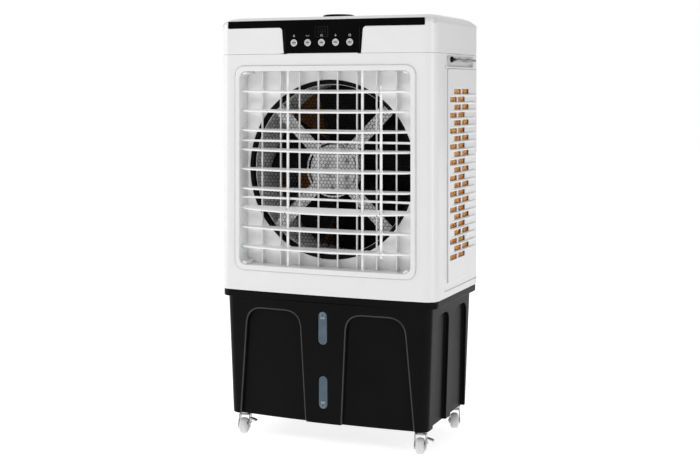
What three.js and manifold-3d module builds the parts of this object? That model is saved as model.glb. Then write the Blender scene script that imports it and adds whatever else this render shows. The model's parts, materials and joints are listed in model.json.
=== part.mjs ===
// Evaporative cooler on casters: a white louvred upper housing standing on a black water tank.
// Millimetres. X runs to the right seen from the front, Y to the rear, Z up; the origin is on the
// floor under the centre. Each mesh is one separate piece of the machine.
import * as THREE from 'three';
import { mergeVertices } from 'three/addons/utils/BufferGeometryUtils.js';
import Module from 'manifold-3d';

const wasm = await Module();
wasm.setup();

// ---------------------------------------------------------------- driving dimensions
const GAP = 0.3; // between pieces that touch
const WALL = 4; // moulded shell thickness

// Upper housing: a rounded box whose front bows outwards.
const HOUSING = { half: 303, front: -181, bow: 9, back: 188, corner: 34 };
const HOUSING_BOTTOM = 387;
const HOUSING_TOP = 1005;
const FRONT = HOUSING.front - HOUSING.bow; // y of the crown of the front face
const REACH = 194; // furthest point front and rear
const HEIGHT = 1110;

// Water tank: tapers in towards the floor.
const TANK = { half: 274.5, front: -169, bow: 11, back: 168, corner: 28 };
const TANK_BOTTOM = 59;
const TANK_SHOULDER = 366;
const TANK_FLARE_X = 1.042; // shoulder size over bottom size
const TANK_FLARE_Y = 1.03;
const RIM_BOTTOM = 368;
const RIM_INSET = 3; // rim outline inside the housing outline
const PANEL_DEPTH = 9; // how far the arched panels are sunk

// Outlet opening, its frame, and the round fan opening behind it.
const OUTLET = { half: 239, bottom: 455, top: 961, corner: 18 };
const TUNNEL_WALL = 3;
const BEZEL = 14; // width of the raised border round the outlet
const BEZEL_PROUD = 3;
const PANEL_Y = -135.7; // front of the panel with the round opening
const PANEL_THICK = 3;
const FAN_Z = 706;
const BELL_RADIUS = 233;
const DUCT_RADIUS = 224.5;

// Horizontal blades.
const BLADE_COUNT = 9;
const BLADE_BOTTOM_Z = 502;
const BLADE_PITCH = 50.9;
const BLADE_PIVOT_Y = -170;
const BLADE_HALF = 236;
const BLADE_THICK = 5;
const BLADE_TILT = 10; // degrees, front edge down
const STEEP_BLADE = 2; // this blade from the bottom stands steeper
const STEEP_TILT = 26;
const STRUT_X = 104.6;
const LINK_X = 158;
const LINK_Y = -176.8;
const BAR_HEIGHTS = [630, 779];

// Vertical vanes behind the blades.
const VANE_COUNT = 8;
const VANE_PITCH = 54;
const VANE_PIVOT_Y = -149;
const VANE_CHORD = 22;
const VANE_THICK = 3.5;
const VANE_ANGLE = 20; // degrees, front edge to the right
const CRANK = 16;
const CRANK_Z = 968;

// Fan.
const MOTOR_RADIUS = 66;
const SHAFT_RADIUS = 6;
const FAN_BLADES = 5;
const FAN_TIP = 214;
const FAN_HUB = 48;
const FAN_Y = -20;

// Pads and their slotted frames.
const PAD_BOTTOM = 424;
const PAD_TOP = 966;
const SLOT_ROWS = 22;
const SLOT_FIRST_Z = 484;
const SLOT_PITCH = 20.2;
const SLOT_HEIGHT = 12.5;

// Controls on the top cover.
const PANEL_HALF = 107.5;
const STRIP_HALF = 275;
const STRIP_BOTTOM = 1075;
const STRIP_TOP = 1090;
const BUTTON_Z = 1033.3;
const BUTTON_PITCH = 39;
const BUTTON_RADIUS = 9;
const CAP_RADIUS = 42;
const CAP_Y = -79;
const LID_Z = 1103.5;

// Casters.
const CASTER_X = 248;
const CASTER_Y = 132;
const WHEEL_RADIUS = 21;
const WHEEL_WIDTH = 20;
const TRAIL = 14;

// Colours with roughness and metalness.
const WHITE = { color: 0xe6e6e6, roughness: 0.3, metalness: 0 };
const BLACK = { color: 0x141414, roughness: 0.45, metalness: 0 };
const GLOSS_BLACK = { color: 0x080808, roughness: 0.15, metalness: 0 };
const SILVER = { color: 0xb4b6b8, roughness: 0.35, metalness: 0.8 };
const ZINC = { color: 0xa9abad, roughness: 0.4, metalness: 0.9 };
const SATIN_SILVER = { color: 0xc0c0c0, roughness: 0.35, metalness: 0.4 };
const PAD_BROWN = { color: 0xb97a3a, roughness: 0.9, metalness: 0 };
const WINDOW_BLUE = { color: 0x5a7080, roughness: 0.2, metalness: 0 };
const PUMP_GREY = { color: 0x3a3f46, roughness: 0.6, metalness: 0 };
const BOARD_GREEN = { color: 0x20502e, roughness: 0.5, metalness: 0 };

// ---------------------------------------------------------------- geometry helpers
const radians = THREE.MathUtils.degToRad;
const range = (count) => Array.from({ length: count }, (_, index) => index);

// A closed geometry as a solid that can be joined and cut.
function solid(geometry) {
  const bare = geometry.clone();
  bare.deleteAttribute('normal');
  bare.deleteAttribute('uv');
  const merged = mergeVertices(bare, 1e-4);
  const corners = merged.index.array;
  const kept = [];
  for (let i = 0; i < corners.length; i += 3) {
    const [a, b, c] = [corners[i], corners[i + 1], corners[i + 2]];
    if (a !== b && b !== c && c !== a) kept.push(a, b, c);
  }
  return new wasm.Manifold(new wasm.Mesh({
    numProp: 3,
    vertProperties: Float32Array.from(merged.attributes.position.array),
    triVerts: Uint32Array.from(kept),
  }));
}

function geometryOf(body) {
  const mesh = body.getMesh();
  const geometry = new THREE.BufferGeometry();
  geometry.setAttribute('position', new THREE.BufferAttribute(mesh.vertProperties, 3));
  geometry.setIndex(new THREE.BufferAttribute(mesh.triVerts, 1));
  geometry.computeVertexNormals();
  return geometry;
}

const join = (bodies) => bodies.reduce((sum, body) => sum.add(body));
const cut = (body, tools) => tools.reduce((rest, tool) => rest.subtract(tool), body);

function boxGeometry(x0, x1, y0, y1, z0, z1) {
  const geometry = new THREE.BoxGeometry(x1 - x0, y1 - y0, z1 - z0);
  return geometry.translate((x0 + x1) / 2, (y0 + y1) / 2, (z0 + z1) / 2);
}

const box = (...limits) => solid(boxGeometry(...limits));

// A flat shape swept along one axis. Along y the shape's plane is (x, z); along x it is (y, z).
const SWEEP_Y = new THREE.Matrix4().set(1, 0, 0, 0, 0, 0, -1, 0, 0, 1, 0, 0, 0, 0, 0, 1);
const SWEEP_X = new THREE.Matrix4().set(0, 0, 1, 0, 1, 0, 0, 0, 0, 1, 0, 0, 0, 0, 0, 1);

// Each arc in the shape is divided into arcSteps pieces.
function sweepGeometry(shape, axis, from, to, arcSteps = 12) {
  const options = { depth: to - from, bevelEnabled: false, curveSegments: arcSteps / 2 };
  const geometry = new THREE.ExtrudeGeometry(shape, options);
  if (axis === 'y') return geometry.applyMatrix4(SWEEP_Y).translate(0, to, 0);
  if (axis === 'x') return geometry.applyMatrix4(SWEEP_X).translate(from, 0, 0);
  return geometry.translate(0, 0, from);
}

const sweep = (...args) => solid(sweepGeometry(...args));

function circle(x, y, radius) {
  const shape = new THREE.Shape();
  shape.absarc(x, y, radius, 0, 2 * Math.PI);
  return shape;
}

function roundedRect(x0, x1, y0, y1, radius) {
  const shape = new THREE.Shape();
  shape.moveTo(x0 + radius, y0);
  shape.absarc(x1 - radius, y0 + radius, radius, -Math.PI / 2, 0);
  shape.absarc(x1 - radius, y1 - radius, radius, 0, Math.PI / 2);
  shape.absarc(x0 + radius, y1 - radius, radius, Math.PI / 2, Math.PI);
  shape.absarc(x0 + radius, y0 + radius, radius, Math.PI, 1.5 * Math.PI);
  return shape;
}

function polygon(points) {
  return new THREE.Shape(points.map(([x, y]) => new THREE.Vector2(x, y)));
}

// A closed profile of (radius, height) turned about the Y axis through (0, FAN_Z) or the Z axis.
function turned(profile, axis, segments, centre) {
  const points = profile.map(([radius, height]) => new THREE.Vector2(radius, height));
  const geometry = new THREE.LatheGeometry(points, segments);
  if (axis === 'z') geometry.rotateX(Math.PI / 2);
  return solid(geometry.translate(...centre));
}

// Plan outline with a bowed front edge, pulled in by inset all round.
function planOutline({ half, front, bow, back, corner }, inset = 0) {
  const side = half - inset;
  const radius = Math.max(corner - inset, 3);
  const near = front + inset;
  const far = back - inset;
  const straight = side - radius;
  const bowRadius = (straight ** 2 + bow ** 2) / (2 * bow);
  const spread = Math.asin(straight / bowRadius);
  const shape = new THREE.Shape();
  shape.absarc(0, near - bow + bowRadius, bowRadius, -Math.PI / 2 - spread, -Math.PI / 2 + spread);
  shape.absarc(side - radius, near + radius, radius, -Math.PI / 2, 0);
  shape.absarc(side - radius, far - radius, radius, 0, Math.PI / 2);
  shape.absarc(-side + radius, far - radius, radius, Math.PI / 2, Math.PI);
  shape.absarc(-side + radius, near + radius, radius, Math.PI, 1.5 * Math.PI);
  return shape;
}

const housingSlab = (inset, z0, z1) => sweep(planOutline(HOUSING, inset), 'z', z0, z1, 6);

// The tank's tapered block, pulled in by inset, from z0 up to z1.
function tankBlock(inset, z0, z1) {
  const geometry = sweepGeometry(planOutline(TANK, inset), 'z', z0, z1, 4);
  const position = geometry.attributes.position;
  const rise = TANK_SHOULDER - TANK_BOTTOM;
  for (let i = 0; i < position.count; i += 1) {
    const level = (position.getZ(i) - TANK_BOTTOM) / rise;
    position.setX(i, position.getX(i) * (1 + (TANK_FLARE_X - 1) * level));
    position.setY(i, position.getY(i) * (1 + (TANK_FLARE_Y - 1) * level));
  }
  return solid(geometry);
}

const bladeZ = (index) => BLADE_BOTTOM_Z + BLADE_PITCH * index;
const vaneX = (index) => VANE_PITCH * (index - (VANE_COUNT - 1) / 2);

// ---------------------------------------------------------------- the assembly
const group = new THREE.Group();
group.name = 'evaporative_cooler';

function addPiece(name, geometry, finish, parent = group) {
  const mesh = new THREE.Mesh(geometry, new THREE.MeshStandardMaterial(finish));
  mesh.name = name;
  parent.add(mesh);
  return mesh;
}

// ---------------------------------------------------------------- water tank
// Arched panel outline in a vertical plane; it runs out through the tank's bottom edge.
function archShape(innerLow, innerHigh, outerLow, outerHigh, top, radius, grow = 0) {
  const sign = Math.sign(outerLow - innerLow);
  const low = TANK_BOTTOM - 20;
  const crown = top + grow;
  const inner = innerHigh - sign * grow;
  const outer = outerHigh + sign * grow;
  const shape = new THREE.Shape();
  shape.moveTo(innerLow - sign * grow, low);
  shape.lineTo(inner, crown - radius);
  shape.quadraticCurveTo(inner, crown, inner + sign * radius, crown);
  shape.lineTo(outer - sign * radius, crown);
  shape.quadraticCurveTo(outer, crown, outer, crown - radius);
  shape.lineTo(outerLow + sign * grow, low);
  shape.closePath();
  return shape;
}

function archTools(grow) {
  const tools = [];
  for (const side of [-1, 1]) {
    const face = archShape(side * 48, side * 64, side * 245, side * 220, 343, 45, grow);
    tools.push(sweep(face, 'y', -260, 260, 6));
    const flank = side < 0
      ? archShape(-16, -20, -118, -104, 343, 30, grow)
      : archShape(22, 26, 140, 126, 343, 30, grow);
    tools.push(sweep(flank, 'x', -360, 360, 6));
  }
  return join(tools);
}

const WINDOW_HALF = 12;
const WINDOWS = { tank_window_lower: [97, 181], tank_window_upper: [261.5, 346] };
const windowShape = ([z0, z1], grow = 0) => roundedRect(
  -WINDOW_HALF - grow, WINDOW_HALF + grow, z0 - grow, z1 + grow, WINDOW_HALF - 1 + grow,
);

const PLUG_X = -185;
const PLUG_Z = 92;
const PLUG_Y = 159.9; // outside of the sunk rear panel at the plug's height

function buildTank() {
  const outer = tankBlock(0, TANK_BOTTOM, TANK_SHOULDER + 4);
  const sunk = archTools(0).subtract(tankBlock(PANEL_DEPTH, TANK_BOTTOM - 30, TANK_SHOULDER + 10));
  const backing = archTools(WALL).subtract(
    tankBlock(PANEL_DEPTH + WALL, TANK_BOTTOM - 30, TANK_SHOULDER + 10),
  );
  const cavity = tankBlock(WALL, TANK_BOTTOM + WALL, TANK_SHOULDER + 30).subtract(backing);
  const rim = housingSlab(RIM_INSET, RIM_BOTTOM, HOUSING_BOTTOM - GAP);
  const rimOpening = tankBlock(WALL, RIM_BOTTOM - 1, HOUSING_BOTTOM + 1);
  const shell = outer.subtract(sunk).add(rim.subtract(rimOpening)).subtract(cavity);
  const slots = Object.values(WINDOWS).map((span) => (
    sweep(windowShape(span, GAP), 'y', -REACH, TANK.front + 10, 8)
  ));
  const plugHole = sweep(circle(PLUG_X, PLUG_Z, 9.4), 'y', 140, 180, 12);
  return cut(shell, [...slots, plugHole]);
}

addPiece('tank', geometryOf(buildTank()), BLACK);

// Water level windows fill the two slots in the middle rib.
for (const [name, span] of Object.entries(WINDOWS)) {
  const skin = tankBlock(1, TANK_BOTTOM, TANK_SHOULDER).subtract(
    tankBlock(WALL, TANK_BOTTOM - 1, TANK_SHOULDER + 1),
  );
  const pane = sweep(windowShape(span), 'y', -REACH, TANK.front, 8).intersect(skin);
  addPiece(name, geometryOf(pane), WINDOW_BLUE);
}

// Drain plug in the rear wall.
const plug = join([
  sweep(circle(PLUG_X, PLUG_Z, 9), 'y', PLUG_Y - 12, PLUG_Y + 1, 12),
  sweep(circle(PLUG_X, PLUG_Z, 14), 'y', PLUG_Y + GAP, PLUG_Y + 4, 12),
  box(PLUG_X - 10, PLUG_X + 10, PLUG_Y + 3, PLUG_Y + 10, PLUG_Z - 2.5, PLUG_Z + 2.5),
]);
addPiece('drain_plug', geometryOf(plug), BLACK);

// ---------------------------------------------------------------- casters
// Each caster is drawn about its swivel axis with the wheel trailing along local +Y.
const RACE_TOP = TANK_BOTTOM - GAP;
const AXLE_Z = WHEEL_RADIUS;
const CHEEK_IN = 13;
const CHEEK_OUT = 15;
const BRAKE_HINGE_Z = 29;

// Swivel race, crown, two cheeks and the riveted axle.
function buildFork() {
  const cheekOutline = polygon([
    [-8, 50], [-10, 43], [TRAIL - 8, AXLE_Z - 7], [TRAIL + 6, AXLE_Z - 7], [TRAIL + 8, AXLE_Z + 6], [13, 50],
  ]);
  return join([
    sweep(circle(0, 0, 17), 'z', RACE_TOP - 4, RACE_TOP, 16),
    sweep(circle(0, 0, 11), 'z', 48, RACE_TOP - 3, 12),
    box(-CHEEK_OUT, CHEEK_OUT, -9, 13, 47, 50),
    sweep(cheekOutline, 'x', -CHEEK_OUT, -CHEEK_IN),
    sweep(cheekOutline, 'x', CHEEK_IN, CHEEK_OUT),
    sweep(circle(TRAIL, AXLE_Z, 3), 'x', -CHEEK_OUT - 1, CHEEK_OUT + 1, 10),
  ]);
}

// Wheel with a raised hub and a bore that runs on the axle; a flat facet faces the floor.
function buildWheel() {
  const sides = 20;
  const facetRadius = WHEEL_RADIUS / Math.cos(Math.PI / sides);
  const corners = range(sides).map((i) => {
    const angle = (2 * Math.PI * (i + 0.5)) / sides;
    return [facetRadius * Math.sin(angle), -facetRadius * Math.cos(angle)];
  });
  const half = WHEEL_WIDTH / 2;
  return join([
    sweep(polygon(corners), 'x', -half, half),
    sweep(circle(0, 0, 8), 'x', -half - 2, half + 2, 12),
  ]).subtract(sweep(circle(0, 0, 3.35), 'x', -20, 20, 10));
}

// Foot brake on the outside of one cheek, hinged along its lower edge.
function buildBrake() {
  const inner = -CHEEK_OUT - 1.5;
  const lever = polygon([
    [inner, BRAKE_HINGE_Z - 2], [inner, 42], [inner - 2, 42], [inner - 17, 37], [inner - 17, 34.5],
    [inner - 2, 38], [inner - 2, BRAKE_HINGE_Z - 2],
  ]);
  return join([
    sweep(lever, 'y', TRAIL - 8, TRAIL + 6),
    sweep(circle(inner - 1, BRAKE_HINGE_Z, 2), 'y', TRAIL - 8, TRAIL + 6, 8),
  ]);
}

// Angle of each swivel, degrees: the front wheels trail forwards, the rear ones nearly so.
const CASTERS = {
  fl: { x: -CASTER_X, y: -CASTER_Y, angle: 192, brake: true },
  fr: { x: CASTER_X, y: -CASTER_Y, angle: 192, brake: true },
  bl: { x: -CASTER_X, y: CASTER_Y, angle: 203, brake: false },
  br: { x: CASTER_X, y: CASTER_Y, angle: 203, brake: false },
};
const forkGeometry = geometryOf(buildFork());
const wheelGeometry = geometryOf(buildWheel());
const brakeGeometry = geometryOf(buildBrake());
for (const [key, { x, y, angle, brake }] of Object.entries(CASTERS)) {
  const caster = new THREE.Group();
  caster.position.set(x, y, 0);
  caster.rotation.z = radians(angle);
  group.add(caster);
  addPiece(`caster_fork_${key}`, forkGeometry, ZINC, caster);
  addPiece(`caster_wheel_${key}`, wheelGeometry, WHITE, caster).position.set(0, TRAIL, AXLE_Z);
  if (brake) addPiece(`caster_brake_${key}`, brakeGeometry, ZINC, caster);
}

// ---------------------------------------------------------------- upper housing
const SIDE_OPENING = { y0: -80, y1: 148 };
const REAR_OPENING = 234;
const POCKET = { y0: -92, y1: 132, z0: 972, z1: 1000, depth: 11 };

function buildHousing() {
  const shell = housingSlab(0, HOUSING_BOTTOM, HOUSING_TOP).subtract(
    housingSlab(WALL, HOUSING_BOTTOM + WALL, HOUSING_TOP + 1),
  );
  const tools = [box(-256, 256, -150, 150, HOUSING_BOTTOM - 1, HOUSING_BOTTOM + WALL + 1)];
  const edge = OUTLET.half + TUNNEL_WALL + 2;
  const outlet = roundedRect(
    -edge, edge, OUTLET.bottom - TUNNEL_WALL - 2, OUTLET.top + TUNNEL_WALL + 2, OUTLET.corner + 4,
  );
  tools.push(sweep(outlet, 'y', FRONT - 5, FRONT + 30, 6));
  tools.push(box(-400, 400, SIDE_OPENING.y0, SIDE_OPENING.y1, PAD_BOTTOM, PAD_TOP));
  tools.push(box(-REAR_OPENING, REAR_OPENING, 150, 200, PAD_BOTTOM, PAD_TOP));
  const pockets = [-1, 1].map((side) => {
    const inner = side * (HOUSING.half - POCKET.depth - 3);
    const wall = side * (HOUSING.half - 1);
    return box(
      Math.min(inner, wall), Math.max(inner, wall),
      POCKET.y0 - 3, POCKET.y1 + 3, POCKET.z0 - 3, POCKET.z1 + 3,
    );
  });
  const hollows = [-1, 1].map((side) => {
    const inner = side * (HOUSING.half - POCKET.depth);
    const outside = side * (HOUSING.half + 5);
    return sweep(
      roundedRect(POCKET.y0, POCKET.y1, POCKET.z0, POCKET.z1, 10), 'x',
      Math.min(inner, outside), Math.max(inner, outside), 3,
    );
  });
  return cut(cut(shell, tools).add(join(pockets)), hollows);
}

addPiece('upper_housing', geometryOf(buildHousing()), WHITE);

// Side grip: a bar between two brackets, standing in the pocket.
const GRIP_X = 306.5;
function buildGrip(side) {
  const brackets = [[-64, -52], [98, 110]].map(([y0, y1]) => {
    const inner = side * (HOUSING.half - POCKET.depth + GAP);
    const outer = side * (GRIP_X + 4.5);
    return box(Math.min(inner, outer), Math.max(inner, outer), y0, y1, 982, 998);
  });
  const bar = sweepGeometry(circle(0, 0, 4), 'y', -56, 102, 10).translate(side * GRIP_X, 0, 990);
  return join([...brackets, solid(bar)]);
}
addPiece('side_handle_left', geometryOf(buildGrip(-1)), BLACK);
addPiece('side_handle_right', geometryOf(buildGrip(1)), BLACK);

// ---------------------------------------------------------------- outlet grille
// Bezel, tunnel, panel with the round opening, two struts, two bars and four corner lugs.
function buildGrille() {
  const outletRect = (grow, corner) => roundedRect(
    -OUTLET.half - grow, OUTLET.half + grow, OUTLET.bottom - grow, OUTLET.top + grow, corner,
  );
  const bezelSkin = housingSlab(-BEZEL_PROUD, 400, 1000).subtract(housingSlab(-GAP, 399, 1001));
  const bezel = sweep(outletRect(BEZEL, OUTLET.corner + 8), 'y', -REACH, -160, 6).intersect(bezelSkin);
  const back = PANEL_Y + PANEL_THICK;
  const tunnel = sweep(outletRect(TUNNEL_WALL, OUTLET.corner + 3), 'y', FRONT - 1, back, 6);
  const inFront = housingSlab(-BEZEL_PROUD, 400, 1000);
  const hollow = sweep(outletRect(0, OUTLET.corner), 'y', -REACH - 5, PANEL_Y, 6);
  const bell = sweep(circle(0, FAN_Z, BELL_RADIUS), 'y', PANEL_Y - 1, back + 1, 56);
  const frame = tunnel.intersect(inFront).add(bezel);
  const struts = [-1, 1].map((side) => box(
    side * STRUT_X - 3.2, side * STRUT_X + 3.2, BLADE_PIVOT_Y - 2.5, BLADE_PIVOT_Y + 2.5,
    OUTLET.bottom - 1, OUTLET.top + 1,
  ));
  const bars = BAR_HEIGHTS.map((z) => box(-OUTLET.half - 1, OUTLET.half + 1, -165, -161, z - 3, z + 3));
  const lugs = [-1, 1].flatMap((side) => [OUTLET.bottom, OUTLET.top].map((z) => (
    sweep(circle(side * (OUTLET.half - 12), z, 9), 'y', -184, PANEL_Y + 1, 12)
  ))).map((lug) => lug.intersect(sweep(outletRect(1, OUTLET.corner + 1), 'y', -190, -130, 6)));
  const bladeHoles = range(BLADE_COUNT).map((index) => (
    sweep(circle(BLADE_PIVOT_Y, bladeZ(index), 2.9), 'x', -REACH * 2, REACH * 2, 6)
  ));
  const vaneHoles = range(VANE_COUNT).map((index) => (
    sweep(circle(vaneX(index), VANE_PIVOT_Y, 2.9), 'z', 400, 1000, 6)
  ));
  const strutSpan = box(-STRUT_X - 4, STRUT_X + 4, -180, -160, OUTLET.bottom, OUTLET.top);
  const holes = join(bladeHoles).subtract(strutSpan).add(join(vaneHoles));
  const inner = cut(frame, [hollow, bell]);
  return cut(join([inner, ...struts, ...bars, ...lugs]), [holes]);
}
addPiece('front_grille', geometryOf(buildGrille()), WHITE);

// Horizontal blade: a lens in plan, pivoted near its rear edge, notched for the struts and the link.
function buildBlade(tilt) {
  const rear = 9.5;
  const endFront = -7.5;
  const middleFront = -23.5;
  const plan = new THREE.Shape();
  plan.moveTo(-BLADE_HALF, rear);
  plan.lineTo(-BLADE_HALF, endFront + 4);
  plan.lineTo(-BLADE_HALF + 4, endFront);
  plan.quadraticCurveTo(0, 2 * middleFront - endFront, BLADE_HALF - 4, endFront);
  plan.lineTo(BLADE_HALF, endFront + 4);
  plan.lineTo(BLADE_HALF, rear);
  plan.closePath();
  const half = BLADE_THICK / 2;
  const plate = sweep(plan, 'z', -half, half, 16);
  const notches = [-1, 1].map((side) => (
    box(side * STRUT_X - 4.2, side * STRUT_X + 4.2, -9, rear + 1, -half - 1, half + 1)
  ));
  const linkHole = box(LINK_X - 4.2, LINK_X + 4.2, -15, -1.5, -half - 1, half + 1);
  const pins = [-1, 1].map((side) => {
    const [from, to] = side < 0 ? [-OUTLET.half - 2, -BLADE_HALF + 1] : [BLADE_HALF - 1, OUTLET.half + 2];
    return sweep(circle(0, 0, 2.4), 'x', from, to, 6);
  });
  const blade = geometryOf(join([cut(plate, [...notches, linkHole]), ...pins]));
  return blade.rotateX(radians(tilt));
}
const bladeGeometry = buildBlade(BLADE_TILT);
const steepGeometry = buildBlade(STEEP_TILT);
for (const index of range(BLADE_COUNT)) {
  const geometry = index === STEEP_BLADE ? steepGeometry : bladeGeometry;
  addPiece(`louver_blade_${index + 1}`, geometry, WHITE).position.set(0, BLADE_PIVOT_Y, bladeZ(index));
}

// The rod that turns the blades together passes through a slot in each of them.
addPiece('louver_link', boxGeometry(
  LINK_X - 3.4, LINK_X + 3.4, LINK_Y - 2, LINK_Y + 2, bladeZ(0) - 14, bladeZ(BLADE_COUNT - 1) + 14,
), WHITE);

// Vertical vane with its pivots, and a crank above the outlet.
function buildVane() {
  const plate = box(
    -VANE_THICK / 2, VANE_THICK / 2, -VANE_CHORD / 2, VANE_CHORD / 2, OUTLET.bottom + 1.5, OUTLET.top - 1.5,
  );
  const pivots = sweep(circle(0, 0, 2.4), 'z', OUTLET.bottom - 6, CRANK_Z, 6);
  const crank = box(-3, 3, -3, CRANK + 3, CRANK_Z - 2.5, CRANK_Z);
  const pin = sweep(circle(0, CRANK, 2), 'z', CRANK_Z - 1, CRANK_Z + 5, 6);
  return geometryOf(join([plate, pivots, crank, pin])).rotateZ(radians(VANE_ANGLE));
}
const vaneGeometry = buildVane();
for (const index of range(VANE_COUNT)) {
  addPiece(`vane_${index + 1}`, vaneGeometry, WHITE).position.set(vaneX(index), VANE_PIVOT_Y, 0);
}

// The link joins all the cranks; the swing motor turns a disc beside its right-hand end.
const LINK_SHIFT_X = -CRANK * Math.sin(radians(VANE_ANGLE));
const LINK_REAR_Y = VANE_PIVOT_Y + CRANK * Math.cos(radians(VANE_ANGLE));
function buildVaneLink() {
  const last = vaneX(VANE_COUNT - 1);
  const bar = box(-last - 8, last + 8, -5, 5, CRANK_Z + 0.5, CRANK_Z + 4);
  const holes = range(VANE_COUNT).map((index) => (
    sweep(circle(vaneX(index), 0, 2.5), 'z', CRANK_Z - 1, CRANK_Z + 6, 6)
  ));
  return geometryOf(cut(bar, holes));
}
addPiece('vane_link', buildVaneLink(), WHITE).position.set(LINK_SHIFT_X, LINK_REAR_Y, 0);

const swingMotor = join([
  sweep(circle(0, 0, 22), 'z', 0, 16, 16),
  sweep(circle(0, 0, 5), 'z', 15, 22, 10),
  box(-30, 30, -5, 5, 0, 2),
]);
addPiece('swing_motor', geometryOf(swingMotor), SILVER).position.set(226, -100, 970);

// ---------------------------------------------------------------- fan
const DUCT_FRONT = PANEL_Y + PANEL_THICK + GAP;
const DUCT_BACK = 16;
const duct = turned([
  [BELL_RADIUS + 3, DUCT_FRONT], [DUCT_RADIUS + 3, DUCT_FRONT + 20], [DUCT_RADIUS + 3, DUCT_BACK],
  [DUCT_RADIUS, DUCT_BACK], [DUCT_RADIUS, DUCT_FRONT + 20], [BELL_RADIUS, DUCT_FRONT],
  [BELL_RADIUS + 3, DUCT_FRONT],
], 'y', 40, [0, 0, FAN_Z]);
addPiece('fan_shroud', geometryOf(duct), SILVER);

// Finger guard: a ring filled with six-sided openings.
const GUARD_RADIUS = 224;
const GUARD_CELL = 76;
const GUARD_WIRE = 4;
function buildGuard() {
  const disc = sweep(circle(0, 0, GUARD_RADIUS), 'y', -123, -120, 32);
  const cell = new THREE.Shape();
  const reach = (GUARD_CELL - GUARD_WIRE) / Math.sqrt(3);
  range(6).forEach((i) => {
    const angle = (Math.PI / 3) * i + Math.PI / 6;
    const corner = [reach * Math.cos(angle), reach * Math.sin(angle)];
    if (i === 0) cell.moveTo(...corner);
    else cell.lineTo(...corner);
  });
  const tool = sweepGeometry(cell, 'y', -130, -110);
  const field = solid(sweepGeometry(circle(0, 0, GUARD_RADIUS - 7), 'y', -131, -109, 32));
  const rows = Math.ceil(GUARD_RADIUS / (GUARD_CELL * 0.866));
  const cells = [];
  for (let row = -rows; row <= rows; row += 1) {
    const offset = row % 2 === 0 ? 0 : GUARD_CELL / 2;
    for (let column = -rows; column <= rows; column += 1) {
      const x = column * GUARD_CELL + offset;
      const z = row * GUARD_CELL * 0.866;
      const inReach = Math.hypot(x, z) < GUARD_RADIUS - 7 + 0.3 * GUARD_CELL;
      if (inReach) cells.push(solid(tool.clone().translate(x, 0, z)).intersect(field));
    }
  }
  return cut(disc, cells);
}
addPiece('fan_guard', geometryOf(buildGuard()), BLACK).position.set(0, 0, FAN_Z);

// X-shaped bracket with feet that fasten to the duct wall.
const BRACKET_Y = -112;
function buildBracket() {
  const arms = range(4).map((i) => {
    const arm = boxGeometry(60, DUCT_RADIUS - 1, BRACKET_Y, BRACKET_Y + 3, -17, 17);
    return solid(arm.rotateY(radians(45 + 90 * i)));
  });
  const feet = range(4).map((i) => {
    const foot = boxGeometry(DUCT_RADIUS - 4, DUCT_RADIUS - 1.2, BRACKET_Y, BRACKET_Y + 22, -17, 17);
    return solid(foot.rotateY(radians(45 + 90 * i)));
  });
  const face = sweep(circle(0, 0, 76), 'y', BRACKET_Y, BRACKET_Y + 3, 32);
  const centre = sweep(circle(0, 0, 24), 'y', BRACKET_Y - 1, BRACKET_Y + 4, 16);
  const limit = sweep(circle(0, 0, DUCT_RADIUS - 0.6), 'y', -140, 0, 40);
  return join([face, ...arms, ...feet]).subtract(centre).intersect(limit);
}
addPiece('motor_bracket', geometryOf(buildBracket()), SILVER).position.set(0, 0, FAN_Z);

const MOTOR_FRONT = BRACKET_Y + 3 + GAP;
const MOTOR_BACK = -62;
const motorBody = turned([
  [0, MOTOR_FRONT], [MOTOR_RADIUS - 6, MOTOR_FRONT], [MOTOR_RADIUS, MOTOR_FRONT + 6],
  [MOTOR_RADIUS, MOTOR_BACK - 8], [MOTOR_RADIUS - 18, MOTOR_BACK], [0, MOTOR_BACK],
], 'y', 28, [0, 0, 0]);
const shaftBore = sweep(circle(0, 0, SHAFT_RADIUS + 0.5), 'y', MOTOR_BACK - 24, MOTOR_BACK + 1, 16);
addPiece('fan_motor', geometryOf(motorBody.subtract(shaftBore)), SILVER).position.set(0, 0, FAN_Z);

// Impeller: a hub on its shaft and twisted blades whose pitch eases towards the tip.
function buildImpellerBlade() {
  const section = new THREE.Shape();
  section.moveTo(-0.5, 0);
  section.quadraticCurveTo(0, 0.14, 0.5, 0);
  section.lineTo(0.5, -0.03);
  section.quadraticCurveTo(0, 0.11, -0.5, -0.03);
  section.closePath();
  const geometry = new THREE.ExtrudeGeometry(section, {
    depth: FAN_TIP - FAN_HUB + 6, steps: 4, bevelEnabled: false, curveSegments: 4,
  });
  const position = geometry.attributes.position;
  const point = new THREE.Vector3();
  const spin = new THREE.Matrix4();
  for (let i = 0; i < position.count; i += 1) {
    point.fromBufferAttribute(position, i);
    const outward = point.z / (FAN_TIP - FAN_HUB + 6);
    const chord = 84 + 76 * outward;
    const radius = FAN_HUB - 6 + point.z;
    point.set(point.x * chord, point.y * chord, 0);
    point.applyMatrix4(spin.makeRotationZ(radians(38 - 16 * outward)));
    const sweepAngle = point.x / radius;
    position.setXYZ(i, radius * Math.sin(sweepAngle), FAN_Y + point.y, radius * Math.cos(sweepAngle));
  }
  return geometry;
}

function buildImpeller() {
  const hub = sweep(circle(0, 0, FAN_HUB), 'y', FAN_Y - 22, FAN_Y + 24, 24);
  const shaft = sweep(circle(0, 0, SHAFT_RADIUS), 'y', MOTOR_BACK - 20, FAN_Y - 20, 16);
  const blade = buildImpellerBlade();
  const blades = range(FAN_BLADES).map((i) => (
    solid(blade.clone().rotateY((2 * Math.PI * i) / FAN_BLADES))
  ));
  return join([hub, shaft, ...blades]);
}
addPiece('fan_impeller', geometryOf(buildImpeller()), BLACK).position.set(0, 0, FAN_Z);

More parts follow.
